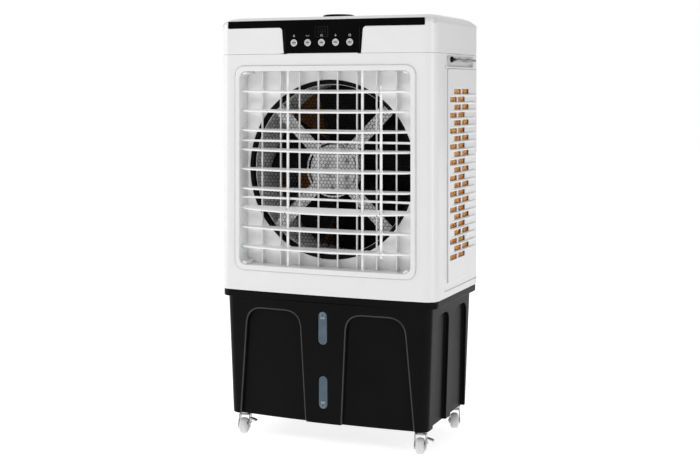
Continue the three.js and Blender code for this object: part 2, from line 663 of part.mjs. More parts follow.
// ---------------------------------------------------------------- pads and slotted frames
// Rows of slots between two limits, each second row shifted by half a pitch.
function slotTools(axis, low, high, pitch, length, from, to) {
  const tools = [];
  for (const row of range(SLOT_ROWS)) {
    const z = SLOT_FIRST_Z + SLOT_PITCH * row;
    const shift = row % 2 === 0 ? 0 : pitch / 2;
    for (let start = low + shift; start + length <= high; start += pitch) {
      const rect = roundedRect(start, start + length, z - SLOT_HEIGHT / 2, z + SLOT_HEIGHT / 2, 0);
      tools.push(sweep(rect, axis, from, to, 1));
    }
  }
  return tools;
}

const SIDE_FRAME_OUT = 309;
const SIDE_PAD = { inner: 262, outer: 297, y0: -76, y1: 144 };
function buildSideFrame() {
  const y0 = SIDE_OPENING.y0 + GAP;
  const y1 = SIDE_OPENING.y1 - GAP;
  const plate = box(SIDE_PAD.outer + GAP, SIDE_FRAME_OUT, y0, y1, PAD_BOTTOM + GAP, PAD_TOP - GAP);
  const ledge = box(SIDE_PAD.inner, SIDE_PAD.outer + 2, y0, y1, PAD_BOTTOM + GAP, PAD_BOTTOM + 4);
  const slots = slotTools('x', -71, 86, 66, 58, SIDE_PAD.outer - 5, SIDE_FRAME_OUT + 5);
  return cut(plate.add(ledge), slots);
}
const sideFrame = geometryOf(buildSideFrame());
addPiece('pad_frame_right', sideFrame, WHITE);
addPiece('pad_frame_left', geometryOf(buildSideFrame().mirror([1, 0, 0])), WHITE);

const REAR_PAD = { half: 228, y0: 148, y1: 181 };
function buildRearFrame() {
  const half = REAR_OPENING - GAP;
  const plate = box(-half, half, REAR_PAD.y1 + GAP, REACH, PAD_BOTTOM + GAP, PAD_TOP - GAP);
  const ledge = box(-half + 4, half - 4, REAR_PAD.y0, REAR_PAD.y1 + 2, PAD_BOTTOM + GAP, PAD_BOTTOM + 4);
  const slots = slotTools('y', -222, 222, 112, 99, REAR_PAD.y1 - 5, REACH + 5);
  return cut(plate.add(ledge), slots);
}
addPiece('pad_frame_rear', geometryOf(buildRearFrame()), WHITE);

const padTop = PAD_TOP - 1;
const padFoot = PAD_BOTTOM + 4 + GAP;
addPiece('cooling_pad_right', boxGeometry(
  SIDE_PAD.inner, SIDE_PAD.outer, SIDE_PAD.y0, SIDE_PAD.y1, padFoot, padTop,
), PAD_BROWN);
addPiece('cooling_pad_left', boxGeometry(
  -SIDE_PAD.outer, -SIDE_PAD.inner, SIDE_PAD.y0, SIDE_PAD.y1, padFoot, padTop,
), PAD_BROWN);
addPiece('cooling_pad_rear', boxGeometry(
  -REAR_PAD.half, REAR_PAD.half, REAR_PAD.y0, REAR_PAD.y1, padFoot, padTop,
), PAD_BROWN);

// ---------------------------------------------------------------- water circuit
// U-shaped channel over the three pads, with a gutter along its top and an inlet in one corner.
const CHANNEL = { z0: PAD_TOP + 2, z1: PAD_TOP + 18, outer: 286, inner: 262, back: 176, front: -74 };
function buildDistributor() {
  const run = (grow, z0, z1) => {
    const { outer, inner, back, front } = CHANNEL;
    return box(-outer + grow, outer - grow, front + grow, back - grow, z0, z1).subtract(
      box(-inner - grow, inner + grow, front - 10, 152 + grow, z0 - 1, z1 + 1),
    );
  };
  return run(0, CHANNEL.z0, CHANNEL.z1).subtract(run(4, CHANNEL.z0 + 4, CHANNEL.z1 + 1));
}
addPiece('water_distributor', geometryOf(buildDistributor()), PUMP_GREY);

// Submersible pump on the tank floor with its riser hose.
function buildPump() {
  const route = new THREE.CatmullRomCurve3([
    new THREE.Vector3(205, 105, 112), new THREE.Vector3(212, 112, 150), new THREE.Vector3(238, 132, 200),
    new THREE.Vector3(240, 134, 300), new THREE.Vector3(240, 134, 430), new THREE.Vector3(247, 160, 500),
    new THREE.Vector3(248, 163, 600), new THREE.Vector3(248, 163, CHANNEL.z0 - GAP),
  ], false, 'catmullrom', 0.4);
  const hose = new THREE.ExtrudeGeometry(circle(0, 0, 7), {
    steps: 18, extrudePath: route, bevelEnabled: false, curveSegments: 4,
  });
  const floor = TANK_BOTTOM + WALL + GAP;
  return join([
    sweep(circle(205, 105, 33), 'z', floor, floor + 8, 16),
    sweep(circle(205, 105, 27), 'z', floor + 7, floor + 44, 16),
    sweep(circle(205, 105, 10), 'z', floor + 43, 113, 12),
    solid(hose),
  ]);
}
addPiece('water_pump', geometryOf(buildPump()), PUMP_GREY);

// ---------------------------------------------------------------- top cover and controls
const COVER_BOTTOM = HOUSING_TOP + GAP;
const COVER_EDGE = 1092;
const EDGE_RADIUS = 14;

// Rounded-edge cap with a raised lid, lowered and pulled in by inset for the hollow inside.
function coverBody(inset) {
  const bevel = {
    depth: COVER_EDGE - inset - 940 - EDGE_RADIUS, bevelEnabled: true, bevelThickness: EDGE_RADIUS,
    bevelSize: EDGE_RADIUS - 2, bevelSegments: 2, curveSegments: 3,
  };
  const outline = planOutline(HOUSING, inset + EDGE_RADIUS - 2);
  const cap = solid(new THREE.ExtrudeGeometry(outline, bevel).translate(0, 0, 940));
  const drop = inset;
  const crown = polygon([
    [-170 + inset, 1080 - drop], [-170 + inset, 1093 - drop], [-148, LID_Z - 3 - drop],
    [-120, LID_Z - drop], [120, LID_Z - drop], [160 - inset, LID_Z - 5 - drop],
    [172 - inset, 1080 - drop],
  ]);
  return cap.add(sweep(crown, 'x', -272 + inset, 272 - inset));
}

function panelOutline(grow = 0) {
  const fillet = 10;
  const low = HOUSING_TOP + 1 - grow;
  const foot = PANEL_HALF + grow;
  const neck = PANEL_HALF + 4.5 + grow;
  const arm = STRIP_BOTTOM - grow;
  const tip = STRIP_HALF + grow;
  const shape = new THREE.Shape();
  shape.moveTo(-foot, low);
  shape.lineTo(foot, low);
  shape.lineTo(neck, arm - fillet);
  shape.quadraticCurveTo(neck, arm, neck + fillet, arm);
  shape.lineTo(tip - 3, arm);
  shape.lineTo(tip, arm + 3);
  shape.lineTo(tip, STRIP_TOP + grow);
  shape.lineTo(-tip, STRIP_TOP + grow);
  shape.lineTo(-tip, arm + 3);
  shape.lineTo(-tip + 3, arm);
  shape.lineTo(-neck - fillet, arm);
  shape.quadraticCurveTo(-neck, arm, -neck, arm - fillet);
  shape.closePath();
  return shape;
}

const buttonX = (index) => BUTTON_PITCH * (index - 2);
const buttonHoles = () => range(5).map((index) => (
  sweep(circle(buttonX(index), BUTTON_Z, BUTTON_RADIUS + 0.4), 'y', -220, -175, 16)
));
const DISPLAY = { half: 17.5, z0: 1048, z1: 1073 };
const displayHole = (grow) => box(
  -DISPLAY.half - grow, DISPLAY.half + grow, -220, -176, DISPLAY.z0 - grow, DISPLAY.z1 + grow,
);
const PANEL_SEAT = 2; // depth of the seat that the control panel sits in

function buildCover() {
  const below = box(-400, 400, -400, 400, 800, COVER_BOTTOM);
  const shell = coverBody(0).subtract(coverBody(WALL)).subtract(below);
  const seat = sweep(panelOutline(GAP), 'y', -220, -150, 6).subtract(
    housingSlab(PANEL_SEAT + GAP, 980, HEIGHT + 10),
  );
  const neck = sweep(circle(0, CAP_Y, CAP_RADIUS - 5), 'z', LID_Z - 24, LID_Z - 1, 28);
  const fillHole = sweep(circle(0, CAP_Y, CAP_RADIUS - 8), 'z', LID_Z - 30, LID_Z + 5, 28);
  return cut(shell.add(neck), [seat, fillHole, displayHole(0.5), ...buttonHoles()]);
}
addPiece('top_cover', geometryOf(buildCover()), WHITE);

function buildControlPanel() {
  const skin = housingSlab(-0.6, 1000, HEIGHT).subtract(housingSlab(PANEL_SEAT, 999, HEIGHT + 1));
  const face = sweep(panelOutline(), 'y', -220, -150, 6).intersect(skin);
  return cut(face, [displayHole(0.5), ...buttonHoles()]);
}
addPiece('control_panel', geometryOf(buildControlPanel()), GLOSS_BLACK);

// Push buttons, each with a retaining flange behind the cover wall.
for (const index of range(5)) {
  const x = buttonX(index);
  const front = FRONT - 2.4 + HOUSING.bow * (x / HOUSING.half) ** 2;
  const button = join([
    sweep(circle(0, 0, BUTTON_RADIUS), 'y', front, front + 9, 16),
    sweep(circle(0, 0, BUTTON_RADIUS + 2), 'y', front + 7.6, front + 9.6, 16),
  ]);
  addPiece(`button_${index + 1}`, geometryOf(button), SATIN_SILVER).position.set(x, 0, BUTTON_Z);
}

// Circuit board with the display block that fills the panel's window.
const board = join([
  box(-100, 100, -175, -173, 1016, 1078),
  box(-DISPLAY.half, DISPLAY.half, FRONT + 0.8, -174, DISPLAY.z0, DISPLAY.z1),
]);
addPiece('control_board', geometryOf(board), BOARD_GREEN);

// Fill cap: a bevelled lid with a plug that drops into the filler neck.
const CAP_BOTTOM = LID_Z + GAP;
const fillCap = turned([
  [0, LID_Z - 16], [CAP_RADIUS - 9, LID_Z - 16], [CAP_RADIUS - 9, CAP_BOTTOM], [CAP_RADIUS, CAP_BOTTOM],
  [CAP_RADIUS, HEIGHT - 2], [CAP_RADIUS - 3, HEIGHT], [0, HEIGHT],
], 'y', 32, [0, 0, 0]);
addPiece(
  'fill_cap', geometryOf(fillCap).rotateX(Math.PI / 2), BLACK,
).position.set(0, CAP_Y, 0);

export default group;
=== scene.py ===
"""Looks of the evaporative cooler: a white louvred housing over a black tank on casters.

Metres, X to the right seen from the front, Y to the rear, Z up, floor at z = 0.
"""

import json
import math

import bmesh
import bpy
from mathutils import Matrix, Vector


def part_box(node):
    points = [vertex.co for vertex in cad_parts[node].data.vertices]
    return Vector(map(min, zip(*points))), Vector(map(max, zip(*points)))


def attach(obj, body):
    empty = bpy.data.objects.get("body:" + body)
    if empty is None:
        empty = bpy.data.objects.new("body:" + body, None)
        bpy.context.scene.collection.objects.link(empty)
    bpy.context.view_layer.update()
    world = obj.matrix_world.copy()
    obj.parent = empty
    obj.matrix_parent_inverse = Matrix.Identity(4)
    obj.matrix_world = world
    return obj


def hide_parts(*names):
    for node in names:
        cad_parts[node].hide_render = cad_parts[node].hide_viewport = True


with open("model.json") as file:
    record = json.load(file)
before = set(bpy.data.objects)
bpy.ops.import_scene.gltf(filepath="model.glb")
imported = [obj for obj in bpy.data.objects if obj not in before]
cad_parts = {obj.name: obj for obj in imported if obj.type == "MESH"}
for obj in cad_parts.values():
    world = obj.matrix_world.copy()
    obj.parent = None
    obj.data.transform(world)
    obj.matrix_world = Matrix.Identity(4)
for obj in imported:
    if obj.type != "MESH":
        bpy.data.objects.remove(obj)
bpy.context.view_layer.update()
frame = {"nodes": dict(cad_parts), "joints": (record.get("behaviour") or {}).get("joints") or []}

# ------------------------------------------------------------------ driving sizes, from the frame
MM = 0.001
ORIGIN = Vector((0, 0, 0))
JOINTS = {joint["name"]: joint for joint in frame["joints"]}
SHELL_LOW, SHELL_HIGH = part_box("upper_housing")
TANK_LOW, TANK_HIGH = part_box("tank")
COVER_LOW, COVER_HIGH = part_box("top_cover")

BOW = 9 * MM
HOUSING = {
    "half": SHELL_HIGH.x,
    "front": SHELL_LOW.y + BOW,
    "bow": BOW,
    "back": SHELL_HIGH.y,
    "corner": 34 * MM,
}
FRONT = SHELL_LOW.y
WALL = 4 * MM
SHELL_BOTTOM = SHELL_LOW.z
SHELL_TOP = SHELL_HIGH.z
REACH = 0.25  # beyond the machine, for cutting tools

OUTLET_HALF = 239 * MM
OUTLET_BOTTOM = 455 * MM
OUTLET_TOP = 961 * MM
OUTLET_CORNER = 18 * MM
BEZEL_WIDTH = 14 * MM
BEZEL_PROUD = 3 * MM
PANEL_Y = -135.7 * MM
PANEL_THICK = 3 * MM
TUNNEL_WALL = 3 * MM

FAN_CENTRE = Vector(JOINTS["fan_spin"]["pos_m"])
FAN_Z = FAN_CENTRE.z
FAN_AXIS = Vector((0, 0, FAN_Z))
FAN_BLADES = 5
BELL_RADIUS = 233 * MM
DUCT_RADIUS = 224.5 * MM

TANK = {"half": 274.5 * MM, "front": -169 * MM, "bow": 11 * MM, "back": 168 * MM, "corner": 26 * MM}
TANK_BOTTOM = TANK_LOW.z
TANK_SHOULDER = 366 * MM
RIM_BOTTOM = 368 * MM
FLARE_X = 0.042
FLARE_Y = 0.03
PANEL_DEPTH = 9 * MM
ARCH_TOP = 343 * MM

BLADE_PIVOTS = [Vector(JOINTS[f"louver_blade_{i}_tilt"]["pos_m"]) for i in range(1, 10)]
VANE_PIVOTS = [Vector(JOINTS[f"vane_{i}_swing"]["pos_m"]) for i in range(1, 9)]
BLADE_HALF = 236 * MM
BLADE_NOSE = -23.5 * MM  # front edge at the middle, from the pivot
BLADE_END_NOSE = -7.5 * MM
BLADE_TILT = 10
STEEP_TILT = 26
STEEP_BLADE = 2
VANE_TURN = 20
CRANK_TOP = 968 * MM
STRUT_X = 104.6 * MM
LINK_X = JOINTS["louver_link_pin"]["pos_m"][0]

PAD_BOTTOM = 424 * MM
PAD_TOP = 966 * MM
SLOT_ROWS = 22
SLOT_FIRST_Z = 484 * MM
SLOT_PITCH = 20.2 * MM
SLOT_HEIGHT = 12.5 * MM


# ------------------------------------------------------------------ materials
def fill(node, **inputs):
    """Sets input values by name, with _ for a space."""
    for key, value in inputs.items():
        node.inputs[key.replace("_", " ")].default_value = value
    return node


def new_material(name):
    """An empty node material: returns it with its nodes, links, shader and object coordinates."""
    material = bpy.data.materials.new(name)
    material.use_nodes = True
    tree = material.node_tree
    place = tree.nodes.new("ShaderNodeTexCoord").outputs["Object"]
    return material, tree.nodes, tree.links, tree.nodes["Principled BSDF"], place


def texture(nodes, links, place, kind="Noise", **inputs):
    node = fill(nodes.new(f"ShaderNodeTex{kind}"), **inputs)
    links.new(place, node.inputs["Vector"])
    return node.outputs["Fac" if kind == "Noise" else "Distance"]


def calculate(nodes, links, operation, first, second):
    node = nodes.new("ShaderNodeMath")
    node.operation = operation
    links.new(first, node.inputs[0])
    links.new(second, node.inputs[1])
    return node.outputs[0]


def relief(nodes, links, shader, source, strength, distance, invert=False):
    bump = fill(nodes.new("ShaderNodeBump"), Strength=strength, Distance=distance)
    bump.invert = invert
    links.new(source, bump.inputs["Height"])
    links.new(bump.outputs["Normal"], shader.inputs["Normal"])


def spread(nodes, links, source, low, high, target, span=(0.3, 0.7)):
    """Colours the target by a grey texture, between two colours."""
    ramp = nodes.new("ShaderNodeValToRGB")
    for element, position, colour in zip(ramp.color_ramp.elements, span, (low, high)):
        element.position = position
        element.color = (*colour, 1)
    links.new(source, ramp.inputs["Fac"])
    links.new(ramp.outputs["Color"], target)


def rescale(nodes, links, source, **inputs):
    node = fill(nodes.new("ShaderNodeMapRange"), **inputs)
    links.new(source, node.inputs["Value"])
    return node


def moulded(name, low, high, roughness, grain, depth, specular=0.5, coat=0.0, metal=0.0):
    """Moulded or plated surface: a cloudy colour, uneven gloss and a fine grain."""
    material, nodes, links, shader, place = new_material(name)
    cloud = texture(nodes, links, place, Scale=9.0, Detail=4.0)
    spread(nodes, links, cloud, low, high, shader.inputs["Base Color"])
    gloss = rescale(nodes, links, cloud, To_Min=roughness * 0.9, To_Max=roughness * 1.12)
    links.new(gloss.outputs["Result"], shader.inputs["Roughness"])
    relief(nodes, links, shader, texture(nodes, links, place, Scale=grain, Detail=2.0), 0.35, depth)
    fill(shader, Specular_IOR_Level=specular, Coat_Weight=coat, Coat_Roughness=0.08, Metallic=metal)
    return material


def pad_paper(name, lit, deep):
    """Cellulose: warm brown with painted shade darkening it in the cells, and fibres across it."""
    material, nodes, links, shader, place = new_material(name)
    cloud = texture(nodes, links, place, Scale=60.0, Detail=6.0)
    cells = texture(nodes, links, place, "Voronoi", Scale=170.0)
    # painted shade: the cell pattern runs from the lit brown to the shaded brown
    mixed = calculate(nodes, links, "MULTIPLY", cloud, cells)
    spread(nodes, links, mixed, lit, deep, shader.inputs["Base Color"], (0.1, 0.5))
    relief(nodes, links, shader, mixed, 0.8, 0.002, invert=True)
    fill(shader, Roughness=0.9)
    return material


def painted_shade_pad(name, lit, deep):
    """A pad's inner face with painted light and shade: brown where light is painted at the left, painted
    shade nearly black beyond.
    """
    material, nodes, links, shader, place = new_material(name)
    axes = nodes.new("ShaderNodeSeparateXYZ")
    links.new(place, axes.inputs["Vector"])
    # painted light and shade: brown at the left where light is painted, darkening towards the right
    reach = rescale(nodes, links, axes.outputs["X"], From_Min=-0.17, From_Max=-0.06)
    cloud = texture(nodes, links, place, Scale=45.0, Detail=5.0)
    total = nodes.new("ShaderNodeMath")
    total.operation = "MULTIPLY_ADD"
    links.new(cloud, total.inputs[0])
    total.inputs[1].default_value = 0.5
    links.new(reach.outputs["Result"], total.inputs[2])
    spread(nodes, links, total.outputs[0], lit, deep, shader.inputs["Base Color"], (0.2, 0.9))
    fill(shader, Roughness=0.95)
    return material


def brushed(name, low, high, roughness):
    """Brushed or spun metal with long streaks."""
    material, nodes, links, shader, place = new_material(name)
    stretch = fill(nodes.new("ShaderNodeMapping"), Scale=(6.0, 6.0, 160.0))
    links.new(place, stretch.inputs["Vector"])
    streaks = texture(nodes, links, stretch.outputs["Vector"], Scale=8.0, Detail=5.0)
    spread(nodes, links, streaks, low, high, shader.inputs["Base Color"])
    relief(nodes, links, shader, streaks, 0.2, 0.0003)
    fill(shader, Roughness=roughness, Metallic=1.0)
    return material


def level_window(name, low, high):
    """Clear moulding with pale blue-grey water behind it."""
    material, nodes, links, shader, place = new_material(name)
    cloud = texture(nodes, links, place, Scale=40.0, Detail=2.0)
    spread(nodes, links, cloud, low, high, shader.inputs["Base Color"])
    fill(shader, Roughness=0.25, Specular_IOR_Level=0.2, Coat_Weight=0.1, Coat_Roughness=0.05)
    return material


def grey(level):
    return (level, level, level)


WHITE = moulded("white_abs", (0.69, 0.69, 0.695), grey(0.71), 0.30, 1400, 0.00005, specular=0.4, coat=0.1)
BLADE_WHITE = moulded("white_blades", (0.80, 0.80, 0.805), grey(0.83), 0.3, 1400, 0.00005, coat=0.15)
# Brighter than the housing white: painted light lifting the outlet panel, which sits in the shade of the
# outlet.
PANEL_WHITE = moulded("white_panel", grey(0.93), grey(0.96), 0.5, 900, 0.00008, specular=0.3)
WHEEL_WHITE = moulded("white_nylon", (0.62, 0.62, 0.615), (0.68, 0.68, 0.675), 0.4, 900, 0.0002)
BLACK = moulded("black_tank", grey(0.0028), grey(0.0042), 0.36, 1800, 0.00012, specular=0.05)
INNER_BLACK = moulded("black_inner", grey(0.004), grey(0.007), 0.55, 900, 0.0002, specular=0.1)
GLOSS_BLACK = moulded(
    "panel_gloss", (0.0010, 0.0010, 0.0011), (0.0016, 0.0016, 0.0017), 0.14, 600, 0.00002, specular=0.06)
DARK_PRINT = moulded(
    "dark_print", (0.006, 0.006, 0.0065), (0.009, 0.009, 0.0095), 0.4, 600, 0.00002, specular=0.1)
GLYPH = moulded("glyph_grey", grey(0.05), grey(0.07), 0.4, 600, 0.00002, specular=0.2)
# Lighter than the tank black: a painted highlight along the lips of the sunk front panels.
EDGE_HIGHLIGHT_BLACK = moulded("black_edge", grey(0.026), grey(0.034), 0.4, 900, 0.0001, specular=0.3)
PALE_PRINT = moulded("pale_print", (0.22, 0.22, 0.23), (0.27, 0.27, 0.28), 0.5, 600, 0.00002)
BUTTON = moulded("button_silver", grey(0.42), grey(0.50), 0.35, 900, 0.00008, metal=0.25)
BUTTON_RIM = moulded("button_rim", grey(0.60), grey(0.66), 0.25, 900, 0.00005, metal=0.4)
SILVER = moulded("satin_silver", (0.80, 0.80, 0.81), grey(0.92), 0.38, 500, 0.0001, metal=0.2)
GALVANISED = moulded("galvanised_duct", grey(0.90), grey(0.97), 0.35, 120, 0.0006)
ZINC = moulded("zinc_plate", (0.42, 0.42, 0.43), (0.56, 0.56, 0.57), 0.3, 700, 0.0002, metal=1.0)
ROD = brushed("steel_rod", (0.16, 0.16, 0.165), (0.26, 0.26, 0.27), 0.3)
# Lit and shaded browns: painted light and shade over the pad's cells.
PAD = pad_paper("cellulose_pad", (0.84, 0.44, 0.165), (0.24, 0.085, 0.022))
# Painted light and shade for the pad cores seen inside: brown at the left, nearly black beyond.
PAINTED_SHADE_PAD = painted_shade_pad("cellulose_wet", (0.75, 0.34, 0.11), (0.010, 0.005, 0.003))
WINDOW = level_window("level_window", (0.055, 0.088, 0.118), (0.075, 0.112, 0.145))
MARK = moulded("level_mark", (0.17, 0.21, 0.25), (0.23, 0.28, 0.32), 0.3, 600, 0.00005)
PUMP = moulded("pump_grey", (0.035, 0.04, 0.045), (0.05, 0.055, 0.06), 0.5, 800, 0.0002)


# ------------------------------------------------------------------ mesh tools
def about(middle, half):
    """Both ends of a span."""
    return middle - half, middle + half


def sided(side, inner, outer):
    """Both ends of a span out from the middle, for side -1 or 1, lower first."""
    return sorted((side * inner, side * outer))


def scaled(points):
    """Points given in millimetres."""
    return [(u * MM, v * MM) for u, v in points]


def arc(u, v, radius, start, stop, steps):
    """Points round a centre; angles in degrees."""
    angles = [math.radians(start + (stop - start) * i / steps) for i in range(steps + 1)]
    return [(u + radius * math.cos(a), v + radius * math.sin(a)) for a in angles]


def circle(u, v, radius, steps=32):
    return arc(u, v, radius, 0, 360, steps)[:-1]


def rounded(u0, u1, v0, v1, radius, steps=8):
    """Rectangle with round corners, anticlockwise."""
    return (
        arc(u1 - radius, v0 + radius, radius, -90, 0, steps)
        + arc(u1 - radius, v1 - radius, radius, 0, 90, steps)
        + arc(u0 + radius, v1 - radius, radius, 90, 180, steps)
        + arc(u0 + radius, v0 + radius, radius, 180, 270, steps)
    )


def plan(spec, inset=0.0, steps=10):
    """Plan outline with a bowed front edge, pulled in by inset all round."""
    side = spec["half"] - inset
    radius = max(spec["corner"] - inset, 3 * MM)
    near = spec["front"] + inset
    far = spec["back"] - inset
    straight = side - radius
    bow_radius = (straight**2 + spec["bow"] ** 2) / (2 * spec["bow"])
    swing = math.degrees(math.asin(straight / bow_radius))
    front = arc(0, near - spec["bow"] + bow_radius, bow_radius, -90 - swing, -90 + swing, 3 * steps)
    return (
        front
        + arc(side - radius, near + radius, radius, -90 + 6, 0, steps)
        + arc(side - radius, far - radius, radius, 0, 90, steps)
        + arc(-side + radius, far - radius, radius, 90, 180, steps)
        + arc(-side + radius, near + radius, radius, 180, 270 - 6, steps)
    )


def on_axis(axis, u, v, w):
    """A point (u, v) of an outline at depth w along the axis."""
    if axis == "x":
        return Vector((w, u, v))
    if axis == "y":
        return Vector((u, w, v))
    return Vector((u, v, w))


def loft(rings, capped=True, looped=False):
    """Skins a list of closed rings of points."""
    body = bmesh.new()
    rows = [[body.verts.new(point) for point in ring] for ring in rings]
    pairs = list(zip(rows, rows[1:]))
    if looped:
        pairs.append((rows[-1], rows[0]))
    for lower, upper in pairs:
        for i in range(len(lower)):
            j = (i + 1) % len(lower)
            body.faces.new((lower[i], lower[j], upper[j], upper[i]))
    if capped and not looped:
        body.faces.new(rows[0])
        body.faces.new(rows[-1])
    bmesh.ops.recalc_face_normals(body, faces=body.faces)
    return body


def prism(points, axis, low, high):
    return loft([[on_axis(axis, u, v, w) for u, v in points] for w in (low, high)])


def block(x0, x1, y0, y1, z0, z1):
    return prism([(x0, y0), (x1, y0), (x1, y1), (x0, y1)], "z", z0, z1)


def revolve(profile, axis, centre, steps=48):
    """Closed profile of (radius, height) turned about an axis through centre."""
    rings = []
    for i in range(steps):
        turn = 2 * math.pi * i / steps
        ring = [on_axis(axis, r * math.cos(turn), r * math.sin(turn), h) + centre for r, h in profile]
        rings.append(ring)
    body = loft(rings, looped=True)
    bmesh.ops.remove_doubles(body, verts=body.verts, dist=1e-6)
    return body


def tube(inner, outer, low, high, axis, centre, steps):
    return revolve([(inner, low), (outer, low), (outer, high), (inner, high)], axis, centre, steps)


def merged(bodies):
    """One mesh holding several."""
    total = bmesh.new()
    for body in bodies:
        mesh = bpy.data.meshes.new("merge")
        body.to_mesh(mesh)
        body.free()
        total.from_mesh(mesh)
        bpy.data.meshes.remove(mesh)
    return total


def temporary(body):
    mesh = bpy.data.meshes.new("tool")
    body.to_mesh(mesh)
    body.free()
    obj = bpy.data.objects.new("tool", mesh)
    bpy.context.scene.collection.objects.link(obj)
    return obj


def boolean(body, operation, *tools, convex=False):
    """Applies each tool in turn: DIFFERENCE, UNION or INTERSECT.

    convex splits faces with hollow corners, which would otherwise fill an opening inside them.
    """
    target = temporary(body)
    made = [temporary(tool) for tool in tools]
    for tool in made:
        modifier = target.modifiers.new("cut", "BOOLEAN")
        modifier.operation = operation
        modifier.object = tool
        modifier.solver = "EXACT"
    shaped = target.evaluated_get(bpy.context.evaluated_depsgraph_get())
    result = bmesh.new()
    result.from_mesh(shaped.to_mesh())
    shaped.to_mesh_clear()
    for obj in (target, *made):
        mesh = obj.data
        bpy.data.objects.remove(obj)
        bpy.data.meshes.remove(mesh)
    if convex:
        faces = [face for face in result.faces if len(face.verts) > 4]
        bmesh.ops.connect_verts_concave(result, faces=faces)
    bmesh.ops.remove_doubles(result, verts=result.verts, dist=2e-5)
    return result


def soften(obj, width, segments=3, angle=32):
    """Rounds the edges and shades the flats flat."""
    if width:
        bevel = obj.modifiers.new("soft_edges", "BEVEL")
        bevel.width = width
        bevel.segments = segments
        bevel.limit_method = "ANGLE"
        bevel.angle_limit = math.radians(angle)
        bevel.use_clamp_overlap = False
        bevel.miter_outer = "MITER_ARC"
    normals = obj.modifiers.new("flats", "WEIGHTED_NORMAL")
    normals.weight = 60
    normals.keep_sharp = True
    obj.data.shade_smooth()


def piece(name, body, material, rides="cabinet", replaces=(), edge=0.0, segments=3, angle=32):
    """Makes the object of a mesh, gives it a material and hangs it on its body."""
    mesh = bpy.data.meshes.new(name)
    body.to_mesh(mesh)
    body.free()
    obj = bpy.data.objects.new(name, mesh)
    bpy.context.scene.collection.objects.link(obj)
    mesh.materials.append(material)
    soften(obj, edge, segments, angle)
    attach(obj, rides)
    if replaces:
        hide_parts(*replaces)
    return obj


def carry(node, material, edge=0.0):
    """Keeps a CAD piece and gives it a finish and rounded edges."""
    obj = frame["nodes"][node]
    obj.data.materials.clear()
    obj.data.materials.append(material)
    weld = obj.modifiers.new("weld", "WELD")
    weld.merge_threshold = 1e-5
    soften(obj, edge)


def placed(body, place, axis=None, degrees=0):
    """Turns a body about the origin, then moves it to its place."""
    if axis:
        body.transform(Matrix.Rotation(math.radians(degrees), 4, axis))
    body.transform(Matrix.Translation(place))
    return body


# ------------------------------------------------------------------ tank
def tank_block(inset, low, high):
    """Tapered tank body, pulled in by inset, between two heights."""
    outline = plan(TANK, inset)
    rings = []
    for z in (low, high):
        level = (z - TANK_BOTTOM) / (TANK_SHOULDER - TANK_BOTTOM)
        rings.append([
            Vector((u * (1 + FLARE_X * level), v * (1 + FLARE_Y * level), z)) for u, v in outline
        ])
    return loft(rings)


def housing_slab(inset, low, high):
    return prism(plan(HOUSING, inset), "z", low, high)


def bend(start, corner, stop, steps=12):
    """Points along a curve that rounds off a corner."""
    start, corner, stop = Vector(start), Vector(corner), Vector(stop)
    shares = [i / steps for i in range(steps + 1)]
    return [tuple(start.lerp(corner, t).lerp(corner.lerp(stop, t), t)) for t in shares]


def arch(inner_low, inner_high, outer_low, outer_high, top, radius):
    """Arched panel outline that runs out through the bottom edge."""
    sign = 1 if outer_low > inner_low else -1
    low = TANK_BOTTOM - 0.02
    rise = top - low
    lean = (inner_high - inner_low) / rise
    fall = (outer_high - outer_low) / rise
    inner_start = (inner_low + lean * (rise - radius), top - radius)
    outer_stop = (outer_low + fall * (rise - radius), top - radius)
    points = [(inner_low, low)]
    points += bend(inner_start, (inner_high, top), (inner_high + sign * radius, top))
    points += bend((outer_high - sign * radius, top), (outer_high, top), outer_stop)
    points.append((outer_low, low))
    return points if sign > 0 else points[::-1]


def front_arch(side):
    return arch(side * 48 * MM, side * 64 * MM, side * 245 * MM, side * 220 * MM, ARCH_TOP, 45 * MM)


WINDOWS = {name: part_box(name) for name in ("tank_window_lower", "tank_window_upper")}


def build_tank():
    shell = tank_block(0, TANK_BOTTOM, RIM_BOTTOM + 2 * MM)
    sunk = []
    for side in (-1, 1):
        sunk.append(prism(front_arch(side), "y", -REACH, REACH))
        flank = (-16, -20, -118, -104) if side < 0 else (22, 26, 140, 126)
        flank = arch(*[value * MM for value in flank], ARCH_TOP, 30 * MM)
        sunk.append(prism(flank, "x", -0.36, 0.36))
    core = tank_block(PANEL_DEPTH, TANK_BOTTOM - 0.03, TANK_SHOULDER + 0.03)
    sunk = [boolean(tool, "DIFFERENCE", core.copy()) for tool in sunk]
    core.free()
    shell = boolean(shell, "DIFFERENCE", *sunk)
    rim = housing_slab(3 * MM, RIM_BOTTOM, TANK_HIGH.z)
    shell = boolean(shell, "UNION", rim)
    cavity = tank_block(15 * MM, TANK_BOTTOM + WALL, TANK_HIGH.z + 0.01)
    slots = []
    for low, high in WINDOWS.values():
        slot = rounded(low.x - MM, high.x + MM, low.z - MM, high.z + MM, (high.x - low.x) / 2, 10)
        slots.append(prism(slot, "y", -REACH, TANK["front"] - 6 * MM))
    shell = boolean(shell, "DIFFERENCE", cavity, *slots)
    piece("tank_shell", shell, BLACK, "cabinet", ["tank"], 2.2 * MM, 3)


def tank_front(x, z):
    """Front face of the tapered tank at x, z."""
    level = (z - TANK_BOTTOM) / (TANK_SHOULDER - TANK_BOTTOM)
    across = x / (1 + FLARE_X * level)
    straight = TANK["half"] - TANK["corner"]
    return (TANK["front"] + TANK["bow"] * ((across / straight) ** 2 - 1)) * (1 + FLARE_Y * level)


def bead(path, radius):
    """Round bead along a path of points."""
    rings = []
    for i, point in enumerate(path):
        ahead = path[min(i + 1, len(path) - 1)] - path[max(i - 1, 0)]
        turn = ahead.to_track_quat("Z", "Y").to_matrix()
        rings.append([point + turn @ Vector((radius * c, radius * w, 0)) for c, w in circle(0, 0, 1, 8)])
    return loft(rings)


